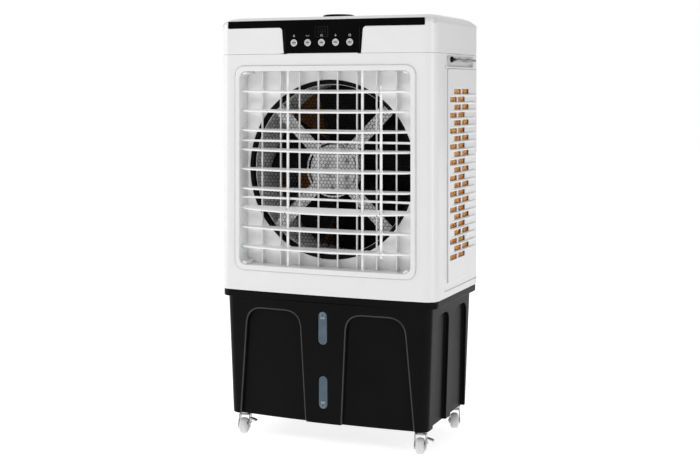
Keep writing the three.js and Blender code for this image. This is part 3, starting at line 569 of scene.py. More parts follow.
def build_arch_beads():
    """The rounded lip round each sunk front panel, in a lighter black than the tank as a painted highlight
    along the edge.
    """
    lips = []
    for side in (-1, 1):
        face = front_arch(side)
        path = []
        for (x0, z0), (x1, z1) in zip(face, face[1:]):
            count = max(1, round(math.hypot(x1 - x0, z1 - z0) / (8 * MM)))
            path += [(x0 + (x1 - x0) * i / count, z0 + (z1 - z0) * i / count) for i in range(count)]
        path = [Vector((x, tank_front(x, z) + 1.7 * MM, z)) for x, z in path if z > TANK_BOTTOM + MM]
        lips.append(bead(path, 2.2 * MM))
    piece("tank_arch_lips", merged(lips), EDGE_HIGHLIGHT_BLACK)


def build_windows():
    for name, (low, high) in WINDOWS.items():
        half = (high.x - low.x) / 2
        shape = rounded(low.x, high.x, low.z, high.z, half - 0.5 * MM, 10)
        pane = prism(shape, "y", low.y, low.y + 6 * MM)
        piece(f"{name}_pane", pane, WINDOW, "cabinet", [name], 1.6 * MM)
        end, inward = (high.z, -1) if name.endswith("upper") else (low.z, 1)
        outline = rounded(-6.5 * MM, 6.5 * MM, *about(end + inward * 17 * MM, 2 * MM), 1.5 * MM)
        bar = prism(outline, "y", low.y - 0.3 * MM, low.y + MM)
        piece(f"{name}_mark", bar, MARK, edge=0.3 * MM)
        centre = Vector((0, low.y, end + inward * 9 * MM))
        ring = tube(5 * MM, 6.5 * MM, -0.4 * MM, MM, "y", centre, 24)
        piece(f"{name}_ring", ring, MARK, edge=0.3 * MM)


# ------------------------------------------------------------------ housing
POCKET_LOW = (-92 * MM, 972 * MM)  # y, z
POCKET_HIGH = (132 * MM, 1000 * MM)
POCKET_DEPTH = 11 * MM
SIDE_Y = (-80 * MM, 148 * MM)
REAR_HALF = 234 * MM


def build_housing():
    shell = housing_slab(0, SHELL_BOTTOM, SHELL_TOP)
    hollow = housing_slab(WALL, SHELL_BOTTOM + WALL, SHELL_TOP + MM)
    floor = block(-0.256, 0.256, -0.15, 0.15, SHELL_BOTTOM - MM, SHELL_BOTTOM + 2 * WALL)
    edge = OUTLET_HALF + TUNNEL_WALL + 2 * MM
    outlet = prism(
        rounded(-edge, edge, OUTLET_BOTTOM - 5 * MM, OUTLET_TOP + 5 * MM, OUTLET_CORNER + 4 * MM),
        "y", FRONT - 0.01, FRONT + 0.03)
    sides = block(-0.4, 0.4, *SIDE_Y, PAD_BOTTOM, PAD_TOP)
    rear = block(-REAR_HALF, REAR_HALF, 0.15, 0.25, PAD_BOTTOM, PAD_TOP)
    shell = boolean(shell, "DIFFERENCE", hollow, floor, outlet)
    backs = []
    hollows = []
    for side in (-1, 1):
        inner = HOUSING["half"] - POCKET_DEPTH
        spans = sided(side, inner - 3 * MM, HOUSING["half"] - MM)
        y0, z0 = (value - 3 * MM for value in POCKET_LOW)
        y1, z1 = (value + 3 * MM for value in POCKET_HIGH)
        backs.append(block(*spans, y0, y1, z0, z1))
        spans = sided(side, inner, HOUSING["half"] + 0.01)
        outline = rounded(POCKET_LOW[0], POCKET_HIGH[0], POCKET_LOW[1], POCKET_HIGH[1], 10 * MM)
        hollows.append(prism(outline, "x", *spans))
    shell = boolean(shell, "UNION", *backs)
    for side in (-1, 1):
        spans = sided(side, HOUSING["half"] - 1.6 * MM, HOUSING["half"] + 0.01)
        outline = rounded(-115 * MM, 172 * MM, 404 * MM, 967 * MM, 14 * MM)
        hollows.append(prism(outline, "x", *spans))
    # a face left with a hole in it would close again over the left pad opening
    shell = boolean(shell, "DIFFERENCE", *hollows, sides, rear, convex=True)
    piece("housing_shell", shell, WHITE, "cabinet", ["upper_housing"], 1.5 * MM, 3)


def grip_collar(side, y, z):
    """Flange at the front end of a grab rod, with the taper behind it."""
    outline = rounded(303.2 * MM, 310 * MM, *about(z, 7.5 * MM), 2 * MM, 4)
    flange = prism(outline, "y", y - MM, y + 3 * MM)
    if side < 0:
        flange.transform(Matrix.Rotation(math.pi, 4, "Z"))
        flange.transform(Matrix.Translation((0, 2 * y + 2 * MM, 0)))
    profile = scaled([(0, 0), (5.6, 0), (3.5, 30), (0, 30)])
    taper = revolve(profile, "y", Vector((side * 306.7 * MM, y, z)), 20)
    return merged([flange, taper])


def build_handles():
    """A wavy rod held off the housing by a foot at each end of the pocket, with a flanged collar at the front
    end.
    """
    for name, side in (("side_handle_left", -1), ("side_handle_right", 1)):
        low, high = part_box(name)
        rod_z = 990 * MM
        start = low.y + 4 * MM
        stop = high.y + 14 * MM
        rings = []
        steps = 96
        for i in range(steps + 1):
            t = i / steps
            calm = min(1, 6 * t, 6 * (1 - t))
            sway = math.sin(2 * math.pi * 2.5 * t) * calm
            centre = Vector((side * (306.5 + 2.5 * t) * MM, start + (stop - start) * t,
                             rod_z - 1.7 * MM * sway))
            rings.append([centre + Vector((3.7 * MM * c, 0, 3.7 * MM * w)) for c, w in circle(0, 0, 1, 12)])
        piece(f"{name}_rod", loft(rings), ROD, "cabinet", [name])
        foot_in = HOUSING["half"] - POCKET_DEPTH + 0.3 * MM
        for key, y, direction in (("front", low.y, 1), ("rear", high.y, -1)):
            foot = block(*sided(side, foot_in, 305 * MM), *sorted((y, y + direction * 9 * MM)),
                         *about(rod_z, 6 * MM))
            piece(f"{name}_{key}_foot", foot, WHITE, edge=1.5 * MM)
            if key == "front":
                piece(f"{name}_collar", grip_collar(side, y, rod_z), INNER_BLACK, edge=0.7 * MM)


# ------------------------------------------------------------------ outlet
def outlet_outline(grow, corner):
    return rounded(*about(0, OUTLET_HALF + grow), OUTLET_BOTTOM - grow, OUTLET_TOP + grow, corner, 10)


def build_grille():
    skin = boolean(
        housing_slab(-BEZEL_PROUD, 0.40, 1.0), "DIFFERENCE", housing_slab(-0.3 * MM, 0.399, 1.001))
    bezel = boolean(
        prism(outlet_outline(BEZEL_WIDTH, OUTLET_CORNER + 8 * MM), "y", -0.2, -0.16), "INTERSECT", skin)
    back = PANEL_Y + PANEL_THICK
    bell = prism(circle(0, FAN_Z, BELL_RADIUS, 128), "y", PANEL_Y - MM, back + MM)
    panel = boolean(prism(outlet_outline(0.2 * MM, OUTLET_CORNER), "y", PANEL_Y, back), "DIFFERENCE", bell)
    # The outlet panel's brighter white is painted light.
    piece("outlet_panel", panel, PANEL_WHITE, edge=0.8 * MM)
    tunnel = prism(outlet_outline(TUNNEL_WALL, OUTLET_CORNER + 3 * MM), "y", FRONT - MM, back)
    tunnel = boolean(tunnel, "INTERSECT", housing_slab(-BEZEL_PROUD, 0.40, 1.0))
    hollow = prism(outlet_outline(0, OUTLET_CORNER), "y", -0.25, back + MM)
    body = boolean(bezel, "UNION", tunnel)
    slots = []
    for pivot in VANE_PIVOTS:
        for z in (OUTLET_BOTTOM, OUTLET_TOP):
            slots.append(block(*about(pivot.x, 11 * MM), pivot.y + 5 * MM, pivot.y + 8.5 * MM,
                               *about(z, 6 * MM)))
    body = boolean(body, "DIFFERENCE", hollow, merged(slots))
    piece("outlet_frame", body, WHITE, "cabinet", ["front_grille"], 2.2 * MM, 4)
    bars = []
    for side in (-1, 1):
        x = side * STRUT_X
        bars.append(block(*about(x, 3.2 * MM), -172.5 * MM, -167.5 * MM, OUTLET_BOTTOM - MM, OUTLET_TOP + MM))
    piece("outlet_struts", merged(bars), BLADE_WHITE, edge=1.4 * MM)
    rails = [block(*about(0, OUTLET_HALF + MM), -165 * MM, -161 * MM, *about(z, 3 * MM))
             for z in (630 * MM, 779 * MM)]
    piece("outlet_rails", merged(rails), BLADE_WHITE, edge=1.2 * MM)
    lugs = []
    for side in (-1, 1):
        for z in (OUTLET_BOTTOM, OUTLET_TOP):
            lugs.append(prism(circle(side * (OUTLET_HALF - 12 * MM), z, 9 * MM, 28), "y", -184 * MM, PANEL_Y))
    walls = prism(outlet_outline(MM, OUTLET_CORNER + MM), "y", -0.19, -0.13)
    piece("outlet_lugs", boolean(merged(lugs), "INTERSECT", walls), WHITE, edge=1.5 * MM)


def blade_section(front, rear, thick):
    """Cross section of a blade in (y, z): a full round nose and a slimmer rear edge."""
    half = thick / 2
    nose = arc(front + half, 0, half, 90, 270, 10)
    tail = arc(rear - half * 0.8, 0, half * 0.8, -90, 90, 6)
    return nose + tail


def blade_nose(x):
    """Front edge of a blade at x, from its pivot."""
    return BLADE_NOSE + (BLADE_END_NOSE - BLADE_NOSE) * (x / BLADE_HALF) ** 2


def blade_tilt(index):
    return STEEP_TILT if index == STEEP_BLADE else BLADE_TILT


def blade_body():
    """A blade about its pivot, before it is tilted."""
    rear = 9.5 * MM
    rings = []
    steps = 56
    for i in range(steps + 1):
        x = -BLADE_HALF + 2 * BLADE_HALF * i / steps
        edge = min(1.0, (BLADE_HALF - abs(x)) / (6 * MM))
        front = blade_nose(x) + (1 - edge) * 3.5 * MM
        rings.append([Vector((x, y, z)) for y, z in blade_section(front, rear, 5 * MM)])
    notches = [block(*about(x, 4.2 * MM), -9 * MM, rear + MM, -4 * MM, 4 * MM) for x in (-STRUT_X, STRUT_X)]
    slot = block(*about(LINK_X, 4.2 * MM), -15 * MM, -1.5 * MM, -4 * MM, 4 * MM)
    blade = boolean(loft(rings), "DIFFERENCE", *notches, slot)
    pins = [prism(circle(0, 0, 2.4 * MM, 16), "x", *sided(side, BLADE_HALF - MM, 241 * MM))
            for side in (-1, 1)]
    return merged([blade, *pins])


def build_blades():
    for index, pivot in enumerate(BLADE_PIVOTS):
        name = f"louver_blade_{index + 1}"
        body = placed(blade_body(), pivot, "X", blade_tilt(index))
        piece(f"{name}_skin", body, BLADE_WHITE, name, [name], 0.5 * MM, 2, 50)
    low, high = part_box("louver_link")
    rod = prism(rounded(low.x, high.x, low.y, high.y, 1.6 * MM, 5), "z", low.z, high.z)
    piece("louver_link_rod", rod, BLADE_WHITE, "louver_link", ["louver_link"], 0.6 * MM)


def build_pin_hole_shade():
    """Dark discs as painted shade in the pin holes where the steep blade meets the struts and the drive rod.
    """
    hole_shades = []
    for x in (-STRUT_X, STRUT_X, LINK_X - 9 * MM):
        nose = blade_nose(x)
        hole_shades.append(prism(circle(x, 0, 1.5 * MM, 14), "y", nose - 0.15 * MM, nose + 1.5 * MM))
    name = f"louver_blade_{STEEP_BLADE + 1}"
    body = placed(merged(hole_shades), BLADE_PIVOTS[STEEP_BLADE], "X", STEEP_TILT)
    # painted shade: a dark disc where each pin hole is
    piece(f"{name}_pin_hole_shade", body, INNER_BLACK, name)


def build_gussets():
    """Small fillets where each blade meets its drive rod."""
    rise = 8 * MM
    turns = [math.radians(degrees) for degrees in range(0, 91, 15)]
    for index, pivot in enumerate(BLADE_PIVOTS):
        cheeks = []
        for side in (-1, 1):
            x0 = LINK_X + side * 4.3 * MM
            curve = [(x0, 0)]
            curve += [(x0 + side * rise * (1 - math.sin(a)), rise * (1 - math.cos(a))) for a in turns]
            cheeks.append(prism(curve if side < 0 else curve[::-1], "y", -13 * MM, -9 * MM))
        body = placed(merged(cheeks), pivot + Vector((0, 0, 2.2 * MM)), "X", blade_tilt(index))
        piece(f"louver_gusset_{index + 1}", body, BLADE_WHITE, f"louver_blade_{index + 1}")


def build_vanes():
    half = 1.75 * MM
    chord = 11 * MM  # half of it
    low, high = OUTLET_BOTTOM + 1.5 * MM, OUTLET_TOP - 1.5 * MM
    for index, pivot in enumerate(VANE_PIVOTS):
        name = f"vane_{index + 1}"
        section = arc(0, -chord + half, half, 180, 360, 8) + arc(0, chord - half, half, 0, 180, 8)
        vane = merged([
            prism(section, "z", low, high),
            prism(circle(0, 0, 2.4 * MM, 16), "z", OUTLET_BOTTOM - 6 * MM, CRANK_TOP),
            prism(rounded(-3 * MM, 3 * MM, -3 * MM, 19 * MM, 2.5 * MM), "z", CRANK_TOP - 2.5 * MM, CRANK_TOP),
            prism(circle(0, 16 * MM, 2 * MM, 12), "z", CRANK_TOP - MM, CRANK_TOP + 5 * MM),
        ])
        placed(vane, Vector((pivot.x, pivot.y, 0)), "Z", VANE_TURN)
        piece(f"{name}_skin", vane, BLADE_WHITE, name, [name], 0.4 * MM, 2)
    carry("vane_link", WHITE, 0.5 * MM)
    carry("swing_motor", SILVER, 0.8 * MM)


# ------------------------------------------------------------------ fan
def build_duct():
    front = PANEL_Y + PANEL_THICK + 0.3 * MM
    back = 16 * MM
    lip = 20 * MM
    flare = [
        (DUCT_RADIUS + (BELL_RADIUS - DUCT_RADIUS) * (1 - math.sin(math.radians(a))),
         front + lip * (1 - math.cos(math.radians(a))))
        for a in range(0, 91, 15)
    ]
    inner = flare + [(DUCT_RADIUS, back)]
    outer = [(DUCT_RADIUS + 3 * MM, back), (DUCT_RADIUS + 3 * MM, front + lip), (BELL_RADIUS + 3 * MM, front)]
    piece("duct_wall", revolve(inner + outer, "y", FAN_AXIS, 120), GALVANISED, replaces=["fan_shroud"])
    ring = [(BELL_RADIUS - 0.3 * MM, front - 2.5 * MM), (BELL_RADIUS - 0.3 * MM, front + 2 * MM),
            (DUCT_RADIUS - 2.5 * MM, front + 10 * MM), (DUCT_RADIUS - 3.5 * MM, front + 10 * MM),
            (DUCT_RADIUS - 1.0 * MM, front - 2.0 * MM)]
    piece("duct_rim", revolve(ring, "y", FAN_AXIS, 120), INNER_BLACK, edge=0.5 * MM)


# corners of a honeycomb cell of unit width and height
CELL = [(0.5, 1 / 3), (0, 2 / 3), (-0.5, 1 / 3), (-0.5, -1 / 3), (0, -2 / 3), (0.5, -1 / 3)]


def build_net():
    """Honeycomb wire net in a ring, its cells slightly wider than they are tall."""
    width = 10.2 * MM
    height = 8.6 * MM
    radius = 219 * MM
    y = -122.6 * MM
    net = bmesh.new()
    corners = {}

    def corner(x, z):
        key = (round(x / MM, 2), round(z / MM, 2))
        if key not in corners:
            corners[key] = net.verts.new((x, y, FAN_Z + z))
        return corners[key]

    columns = int(radius / width) + 2
    rows = int(radius / height) + 2
    for row in range(-rows, rows + 1):
        for column in range(-columns, columns + 1):
            x = (column + 0.5 * (row % 2)) * width
            z = row * height
            if math.hypot(x, z) > radius - 2 * MM:
                continue
            points = [corner(x + across * width, z + up * height) for across, up in CELL]
            if len(set(points)) == 6:
                try:
                    net.faces.new(points)
                except ValueError:
                    pass
    obj = piece("guard_net", net, INNER_BLACK, "cabinet", ["fan_guard"])
    wire = obj.modifiers.new("wire", "WIREFRAME")
    wire.thickness = 1.35 * MM
    wire.use_even_offset = False
    obj.modifiers.move(1, 0)
    section = [(radius + 2.5 * MM + 1.5 * MM * c, y + 1.5 * MM * s) for c, s in circle(0, 0, 1, 10)]
    piece("guard_rim", revolve(section, "y", FAN_AXIS, 120), SILVER)


def build_motor():
    """Bracket with four ribbed arms, the motor's face and its finned can."""
    front = -118.5 * MM
    width = about(0, 16 * MM)
    parts = []
    for turn in range(4):
        arm = [block(60 * MM, DUCT_RADIUS - MM, front, front + 3 * MM, *width)]
        for z in (-10 * MM, 0, 10 * MM):
            rib = about(z, 1.6 * MM)
            arm.append(block(72 * MM, DUCT_RADIUS - 8 * MM, front - 1.6 * MM, front + MM, *rib))
        arm.append(block(DUCT_RADIUS - 4 * MM, DUCT_RADIUS - 1.2 * MM, front, front + 22 * MM, *width))
        parts.append(placed(merged(arm), FAN_AXIS, "Y", 45 + 90 * turn))
    face = prism(circle(0, FAN_Z, 64 * MM, 64), "y", front, front + 3 * MM)
    holes = [prism(circle(0, FAN_Z, 23 * MM, 40), "y", *about(front, 0.01))]
    for turn in range(6):
        angle = math.radians(60 * turn + 30)
        hole = circle(46 * MM * math.cos(angle), FAN_Z + 46 * MM * math.sin(angle), 6 * MM, 24)
        holes.append(prism(hole, "y", *about(front, 0.01)))
    face = boolean(face, "DIFFERENCE", *holes)
    ring = tube(69 * MM, 74 * MM, front - 1.5 * MM, front + MM, "y", FAN_AXIS, 64)
    piece("motor_spider", merged([face, ring, *parts]), SILVER, "cabinet", ["motor_bracket"], 1.2 * MM)
    carry("fan_motor", GALVANISED, 1.5 * MM)


def impeller_blade():
    tip = 214 * MM
    hub = 42 * MM
    rings = []
    for i in range(25):
        outward = i / 24
        radius = hub + (tip - hub) * outward
        chord = (84 + 76 * outward) * MM
        twist = math.radians(38 - 16 * outward)
        upper = []
        lower = []
        for j in range(17):
            s = j / 16 - 0.5
            camber = 0.07 * (1 - 4 * s * s) * chord
            upper.append((s * chord, camber + 1.1 * MM))
            lower.append((s * chord, camber - 1.1 * MM))
        ring = []
        for across, rise in upper + lower[::-1]:
            u = across * math.cos(twist) - rise * math.sin(twist)
            w = across * math.sin(twist) + rise * math.cos(twist)
            angle = u / radius
            ring.append(Vector((radius * math.sin(angle), w, radius * math.cos(angle))))
        rings.append(ring)
    return loft(rings)


def build_fan():
    blades = [placed(impeller_blade(), ORIGIN, "Y", -360 / FAN_BLADES * turn) for turn in range(FAN_BLADES)]
    profile = scaled([(0, -22), (34, -22), (45, -18), (48, -10), (48, 22), (40, 24), (0, 24)])
    hub = revolve(profile, "y", ORIGIN, 48)
    shaft = tube(0, 6 * MM, -62 * MM, -10 * MM, "y", ORIGIN, 20)
    fan = placed(merged([hub, shaft, *blades]), FAN_CENTRE)
    piece("fan_wheel", fan, INNER_BLACK, "fan", ["fan_impeller"], 0.6 * MM, 2)


# ------------------------------------------------------------------ pads and slotted frames
def slot_rows(low, high, pitch, length):
    """Start and end of every slot, row by row; each second row is shifted by half a pitch."""
    rows = []
    for row in range(SLOT_ROWS):
        shift = 0 if row % 2 == 0 else pitch / 2
        spans = []
        start = low + shift
        while start + length <= high + 1e-6:
            spans.append((start, start + length))
            start += pitch
        rows.append((SLOT_FIRST_Z + SLOT_PITCH * row, spans))
    return rows


def slotted_plate(axis, side, inner, outer, low, high, rows):
    """Plate with rows of round-ended slots."""
    spans = sided(side, inner, outer)
    outline = rounded(low, high, PAD_BOTTOM - 3 * MM, PAD_TOP + 0.5 * MM, 6 * MM, 5)
    plate = prism(outline, axis, *spans)
    tools = []
    for z, slots in rows:
        for start, stop in slots:
            shape = rounded(start, stop, z - SLOT_HEIGHT / 2, z + SLOT_HEIGHT / 2, 2.5 * MM, 4)
            tools.append(prism(shape, axis, spans[0] - 0.01, spans[1] + 0.01))
    return boolean(plate, "DIFFERENCE", merged(tools))


def slats(axis, side, outer, rows, low, high):
    """Half-round slats on a slotted plate, one between each two rows, swelling towards the high end."""
    bodies = []
    for z, _ in rows[:-1]:
        middle = z + SLOT_PITCH / 2
        half = (SLOT_PITCH - SLOT_HEIGHT) / 2 - 0.2 * MM
        rings = []
        steps = 10
        for i in range(steps + 1):
            t = i / steps
            u = low + (high - low) * t
            fade = min(1.0, 3 * t, 8 * (1 - t)) * (0.8 + 1.2 * t)
            ring = []
            for c, s in arc(0, 0, 1, -90, 90, 8):
                reach = outer - 1.5 * MM + (1.5 * MM + 2.2 * MM * fade) * c
                ring.append(on_axis(axis, u, middle + half * s, side * reach))
            rings.append(ring)
        bodies.append(loft(rings))
    return merged(bodies)


def pad_block(axis, side, inner, outer, low, high, bottom, top):
    """Corrugated pad: the outer face is a field of slanting flutes."""
    pad = bmesh.new()
    step = 2.4 * MM
    columns = int((high - low) / step)
    rows = int((top - bottom) / step)
    grid = []
    for i in range(columns + 1):
        u = low + (high - low) * i / columns
        line = []
        for j in range(rows + 1):
            v = bottom + (top - bottom) * j / rows
            sheet = math.floor((u - low) / (7 * MM)) % 2
            slant = v + (u if sheet else -u) * 0.8
            depth = 2.2 * MM * (0.5 + 0.5 * math.sin(slant / (9 * MM) * 2 * math.pi))
            depth += 1.2 * MM * abs(math.sin((u - low) / (7 * MM) * math.pi))
            line.append(pad.verts.new(on_axis(axis, u, v, side * (outer - depth))))
        grid.append(line)
    for i in range(columns):
        for j in range(rows):
            pad.faces.new((grid[i][j], grid[i + 1][j], grid[i + 1][j + 1], grid[i][j + 1]))
    spans = sided(side, inner, outer - 4 * MM)
    core = prism([(low, bottom), (high, bottom), (high, top), (low, top)], axis, *spans)
    bmesh.ops.recalc_face_normals(pad, faces=pad.faces)
    return pad, core


def build_frame(name, axis, side, plate, slats_at, rows, pad_outer, core_finish):
    """A slotted frame with its slats, and the pad behind it; plate is inner, outer, low, high."""
    frame_name = f"pad_frame_{name}"
    body = slotted_plate(axis, side, *plate, rows)
    piece(f"{frame_name}_plate", body, WHITE, "cabinet", [frame_name], 1.3 * MM)
    piece(f"{frame_name}_slats", slats(axis, side, plate[1], rows, *slats_at), WHITE)
    pad_name = f"cooling_pad_{name}"
    low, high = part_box(pad_name)
    if axis == "x":
        deep, across = (low.x, high.x), (low.y, high.y)
    else:
        deep, across = (low.y, high.y), (low.x, high.x)
    inner = min(abs(deep[0]), abs(deep[1]))
    outer = pad_outer or deep[1]
    pad, core = pad_block(axis, side, inner, outer, *across, low.z, high.z)
    piece(f"{pad_name}_flutes", pad, PAD, "cabinet", [pad_name])
    piece(f"{pad_name}_core", core, core_finish)


def build_pads():
    rows = slot_rows(-71 * MM, 86 * MM, 66 * MM, 58 * MM)
    plate = (301.6 * MM, 305.0 * MM, SIDE_Y[0] - 4 * MM, SIDE_Y[1] + 4 * MM)
    # The right and rear pad cores carry painted light and shade, brown at the left and nearly black beyond.
    for name, side, core_finish in (("left", -1, PAD), ("right", 1, PAINTED_SHADE_PAD)):
        build_frame(name, "x", side, plate, (-74 * MM, 149 * MM), rows, 300.5 * MM, core_finish)
    rows = slot_rows(-222 * MM, 222 * MM, 112 * MM, 99 * MM)
    plate = (181.3 * MM, 191.5 * MM, -REAR_HALF + 0.3 * MM, REAR_HALF - 0.3 * MM)
    build_frame("rear", "y", 1, plate, (-228 * MM, 228 * MM), rows, None, PAINTED_SHADE_PAD)
    carry("water_distributor", BLACK, 1.0 * MM)
    carry("water_pump", PUMP, 1.0 * MM)
    carry("drain_plug", BLACK, 0.8 * MM)


# ------------------------------------------------------------------ top cover and controls
LID_Z = COVER_HIGH.z
EDGE_Z = 1092 * MM
STRIP_BOTTOM = 1073.5 * MM
STRIP_TOP = 1092 * MM
STRIP_HALF = 275 * MM
PANEL_HALF = 107.5 * MM
BUTTON_BOXES = [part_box(f"button_{i}") for i in range(1, 6)]
FASCIA_SPAN = (-0.22, -0.15)  # y, from before the front wall to behind it
WELL_SPAN = (-0.22, -0.176)


def cover_body(inset):
    """Rounded cap of the cover: rings that turn in over the top edge."""
    radius = 14 * MM
    rings = [[Vector((u, v, COVER_LOW.z)) for u, v in plan(HOUSING, inset)]]
    for i in range(9):
        angle = math.radians(90 * i / 8)
        pull = inset + (radius - 2 * MM) * (1 - math.cos(angle))
        z = EDGE_Z - inset - radius + radius * math.sin(angle)
        rings.append([Vector((u, v, z)) for u, v in plan(HOUSING, pull)])
    cap = loft(rings)
    crown = [
        (-170 * MM + inset, 1080 * MM - inset), (-170 * MM + inset, 1093 * MM - inset),
        (-150 * MM, LID_Z - 3.2 * MM - inset), (-120 * MM, LID_Z - inset), (110 * MM, LID_Z - inset),
        (150 * MM - inset, LID_Z - 3 * MM - inset), (168 * MM - inset, LID_Z - 9 * MM - inset),
        (172 * MM - inset, 1080 * MM - inset),
    ]
    ends = [(266, 1), (279, 0.95), (288, 0.83), (294, 0.62), (297, 0.35)]
    rings = []
    for x, height in [(-x, height) for x, height in reversed(ends)] + ends:
        rings.append([Vector((x * MM * (1 - inset / 0.3), v, 1.08 + (w - 1.08) * height)) for v, w in crown])
    return boolean(cap, "UNION", loft(rings))


def fascia(grow=0.0):
    """Outline of the control panel: a T with rounded inner corners."""
    foot = PANEL_HALF + grow
    neck = PANEL_HALF + 4.5 * MM + grow
    arm = STRIP_BOTTOM - grow
    tip = STRIP_HALF + grow
    low = SHELL_TOP + MM - grow
    fillet = 10 * MM
    right = (
        [(foot, low)]
        + arc(neck + fillet, arm - fillet, fillet, 180, 90, 8)
        + arc(tip - 3 * MM, arm + 3 * MM, 3 * MM, -90, 0, 4)
        + arc(tip - 2 * MM, STRIP_TOP + grow - 2 * MM, 2 * MM, 0, 90, 4)
    )
    return right + [(-u, v) for u, v in reversed(right)]


def build_cover():
    shell = boolean(cover_body(0), "DIFFERENCE", cover_body(WALL))
    seat = prism(fascia(0.3 * MM), "y", *FASCIA_SPAN)
    seat = boolean(seat, "DIFFERENCE", housing_slab(2.3 * MM, 0.98, 1.12))
    hole = prism(circle(0, -79 * MM, 34 * MM, 48), "z", LID_Z - 0.03, LID_Z + 0.01)
    shell = boolean(shell, "DIFFERENCE", seat, hole)
    piece("cover_shell", shell, WHITE, "cabinet", ["top_cover"], 1.3 * MM, 3)


def build_controls():
    skin = boolean(housing_slab(-0.6 * MM, 1.0, 1.11), "DIFFERENCE", housing_slab(2 * MM, 0.999, 1.12))
    face = boolean(prism(fascia(), "y", *FASCIA_SPAN), "INTERSECT", skin)
    window = prism(rounded(-18 * MM, 18 * MM, 1047.5 * MM, 1073.5 * MM, 1.5 * MM), "y", *WELL_SPAN)
    wells = []
    for low, high in BUTTON_BOXES:
        middle = (low + high) / 2
        wells.append(prism(circle(middle.x, middle.z, 9.5 * MM), "y", *WELL_SPAN))
    face = boolean(face, "DIFFERENCE", window, *wells)
    piece("control_fascia", face, GLOSS_BLACK, "cabinet", ["control_panel"], 0.6 * MM)
    carry("control_board", GLOSS_BLACK, 0.3 * MM)
    edge_lines = []
    for side in (-1, 1):
        x = side * (PANEL_HALF - 3.5 * MM)
        y = front_y(x) - 0.6 * MM
        edge_lines.append(block(*about(x, 0.5 * MM), y - 0.25 * MM, y + 0.5 * MM, 1.013, 1.069))
    piece("panel_lines", merged(edge_lines), DARK_PRINT)
    outer = rounded(-18.5 * MM, 18.5 * MM, 1047 * MM, 1074 * MM, 1.5 * MM)
    inner = rounded(-17 * MM, 17 * MM, 1048.5 * MM, 1072.5 * MM, MM)
    rim = prism(outer, "y", FRONT - 0.9 * MM, FRONT + 0.6 * MM)
    rim = boolean(rim, "DIFFERENCE", prism(inner, "y", *FASCIA_SPAN))
    piece("display_rim", rim, DARK_PRINT)
    bars = []
    deep = (FRONT + 0.3 * MM, FRONT + 1.2 * MM)
    for x in (-6 * MM, 6 * MM):
        for z in (1053 * MM, 1060.5 * MM, 1068 * MM):
            bars.append(block(*about(x, 3.4 * MM), *deep, *about(z, 0.7 * MM)))
        for edge in about(x, 4.2 * MM):
            bars.append(block(*about(edge, 0.7 * MM), *deep, 1053.5 * MM, 1067.5 * MM))
    piece("display_digits", merged(bars), DARK_PRINT)


def front_y(x):
    """Front face of the housing at x."""
    straight = HOUSING["half"] - HOUSING["corner"]
    return FRONT + BOW * (x / straight) ** 2


def dot(x, z, radius, y, depth=0.5 * MM):
    return prism(circle(x, z, radius, 20), "y", y - depth, y + MM)


def tick(x0, z0, x1, z1, width, y, depth=0.5 * MM):
    """A straight stroke between two points on the front face."""
    along = Vector((x1 - x0, z1 - z0)).normalized() * width / 2
    side = Vector((-along.y, along.x))
    outline = [(x0 - along.x + side.x, z0 - along.y + side.y), (x0 - along.x - side.x, z0 - along.y - side.y),
               (x1 + along.x - side.x, z1 + along.y - side.y), (x1 + along.x + side.x, z1 + along.y + side.y)]
    return prism(outline, "y", y - depth, y + MM)


def icon(index, x, z):
    """Plain sign over a button: a drop, a wave or a dial."""
    y = front_y(x) - 0.55 * MM
    relief_depth = 0.3 * MM
    if index in (0, 3):
        return [dot(x, z, 2.5 * MM, y, relief_depth), dot(x, z + 2.6 * MM, 1.1 * MM, y, relief_depth)]
    if index == 1:
        strokes = ((-4, 1, -1.5, -1, 1.6), (1.5, -1, 4, 1, 1.6), (-1.5, -1, 1.5, -1, 1.4))
        return [tick(x + x0 * MM, z + z0 * MM, x + x1 * MM, z + z1 * MM, width * MM, y, relief_depth)
                for x0, z0, x1, z1, width in strokes]
    return [tube(2 * MM, 3.4 * MM, -relief_depth, MM, "y", Vector((x, y, z)), 24),
            tick(x, z, x + 2.4 * MM, z, MM, y, relief_depth)]


def build_buttons():
    for index, (low, high) in enumerate(BUTTON_BOXES):
        name = f"button_{index + 1}"
        x = (low.x + high.x) / 2
        z = (low.z + high.z) / 2
        centre = Vector((x, low.y, z))
        cap = scaled([(0, 0.9), (6.6, 0.9), (7.2, 0.2), (8.2, 0), (9, 0.9), (9, 9), (0, 9)])
        piece(f"{name}_cap", revolve(cap, "y", centre, 40), BUTTON_RIM, name, [name], 0.3 * MM)
        disc = scaled([(0, 0.45), (6.5, 0.55), (6.5, 1.2), (0, 1.2)])
        piece(f"{name}_face", revolve(disc, "y", centre, 40), BUTTON, name)
        face = low.y + 0.55 * MM
        strokes = [
            tube(4.9 * MM, 5.4 * MM, -0.1 * MM, MM, "y", Vector((x, face, z)), 28),
            tick(x - 3.4 * MM, z, x + 3.4 * MM, z, 2.4 * MM, face, 0.15 * MM),
        ]
        if index % 2:
            strokes.append(tick(x - 2 * MM, z + 2 * MM, x + 2 * MM, z + 2 * MM, 0.9 * MM, face, 0.15 * MM))
        else:
            strokes.append(dot(x, z, 2.2 * MM, face, 0.2 * MM))
        piece(f"{name}_glyph", merged(strokes), GLYPH, name)
        piece(f"icon_{index + 1}", merged(icon(index, x, z + 17.5 * MM)), PALE_PRINT)


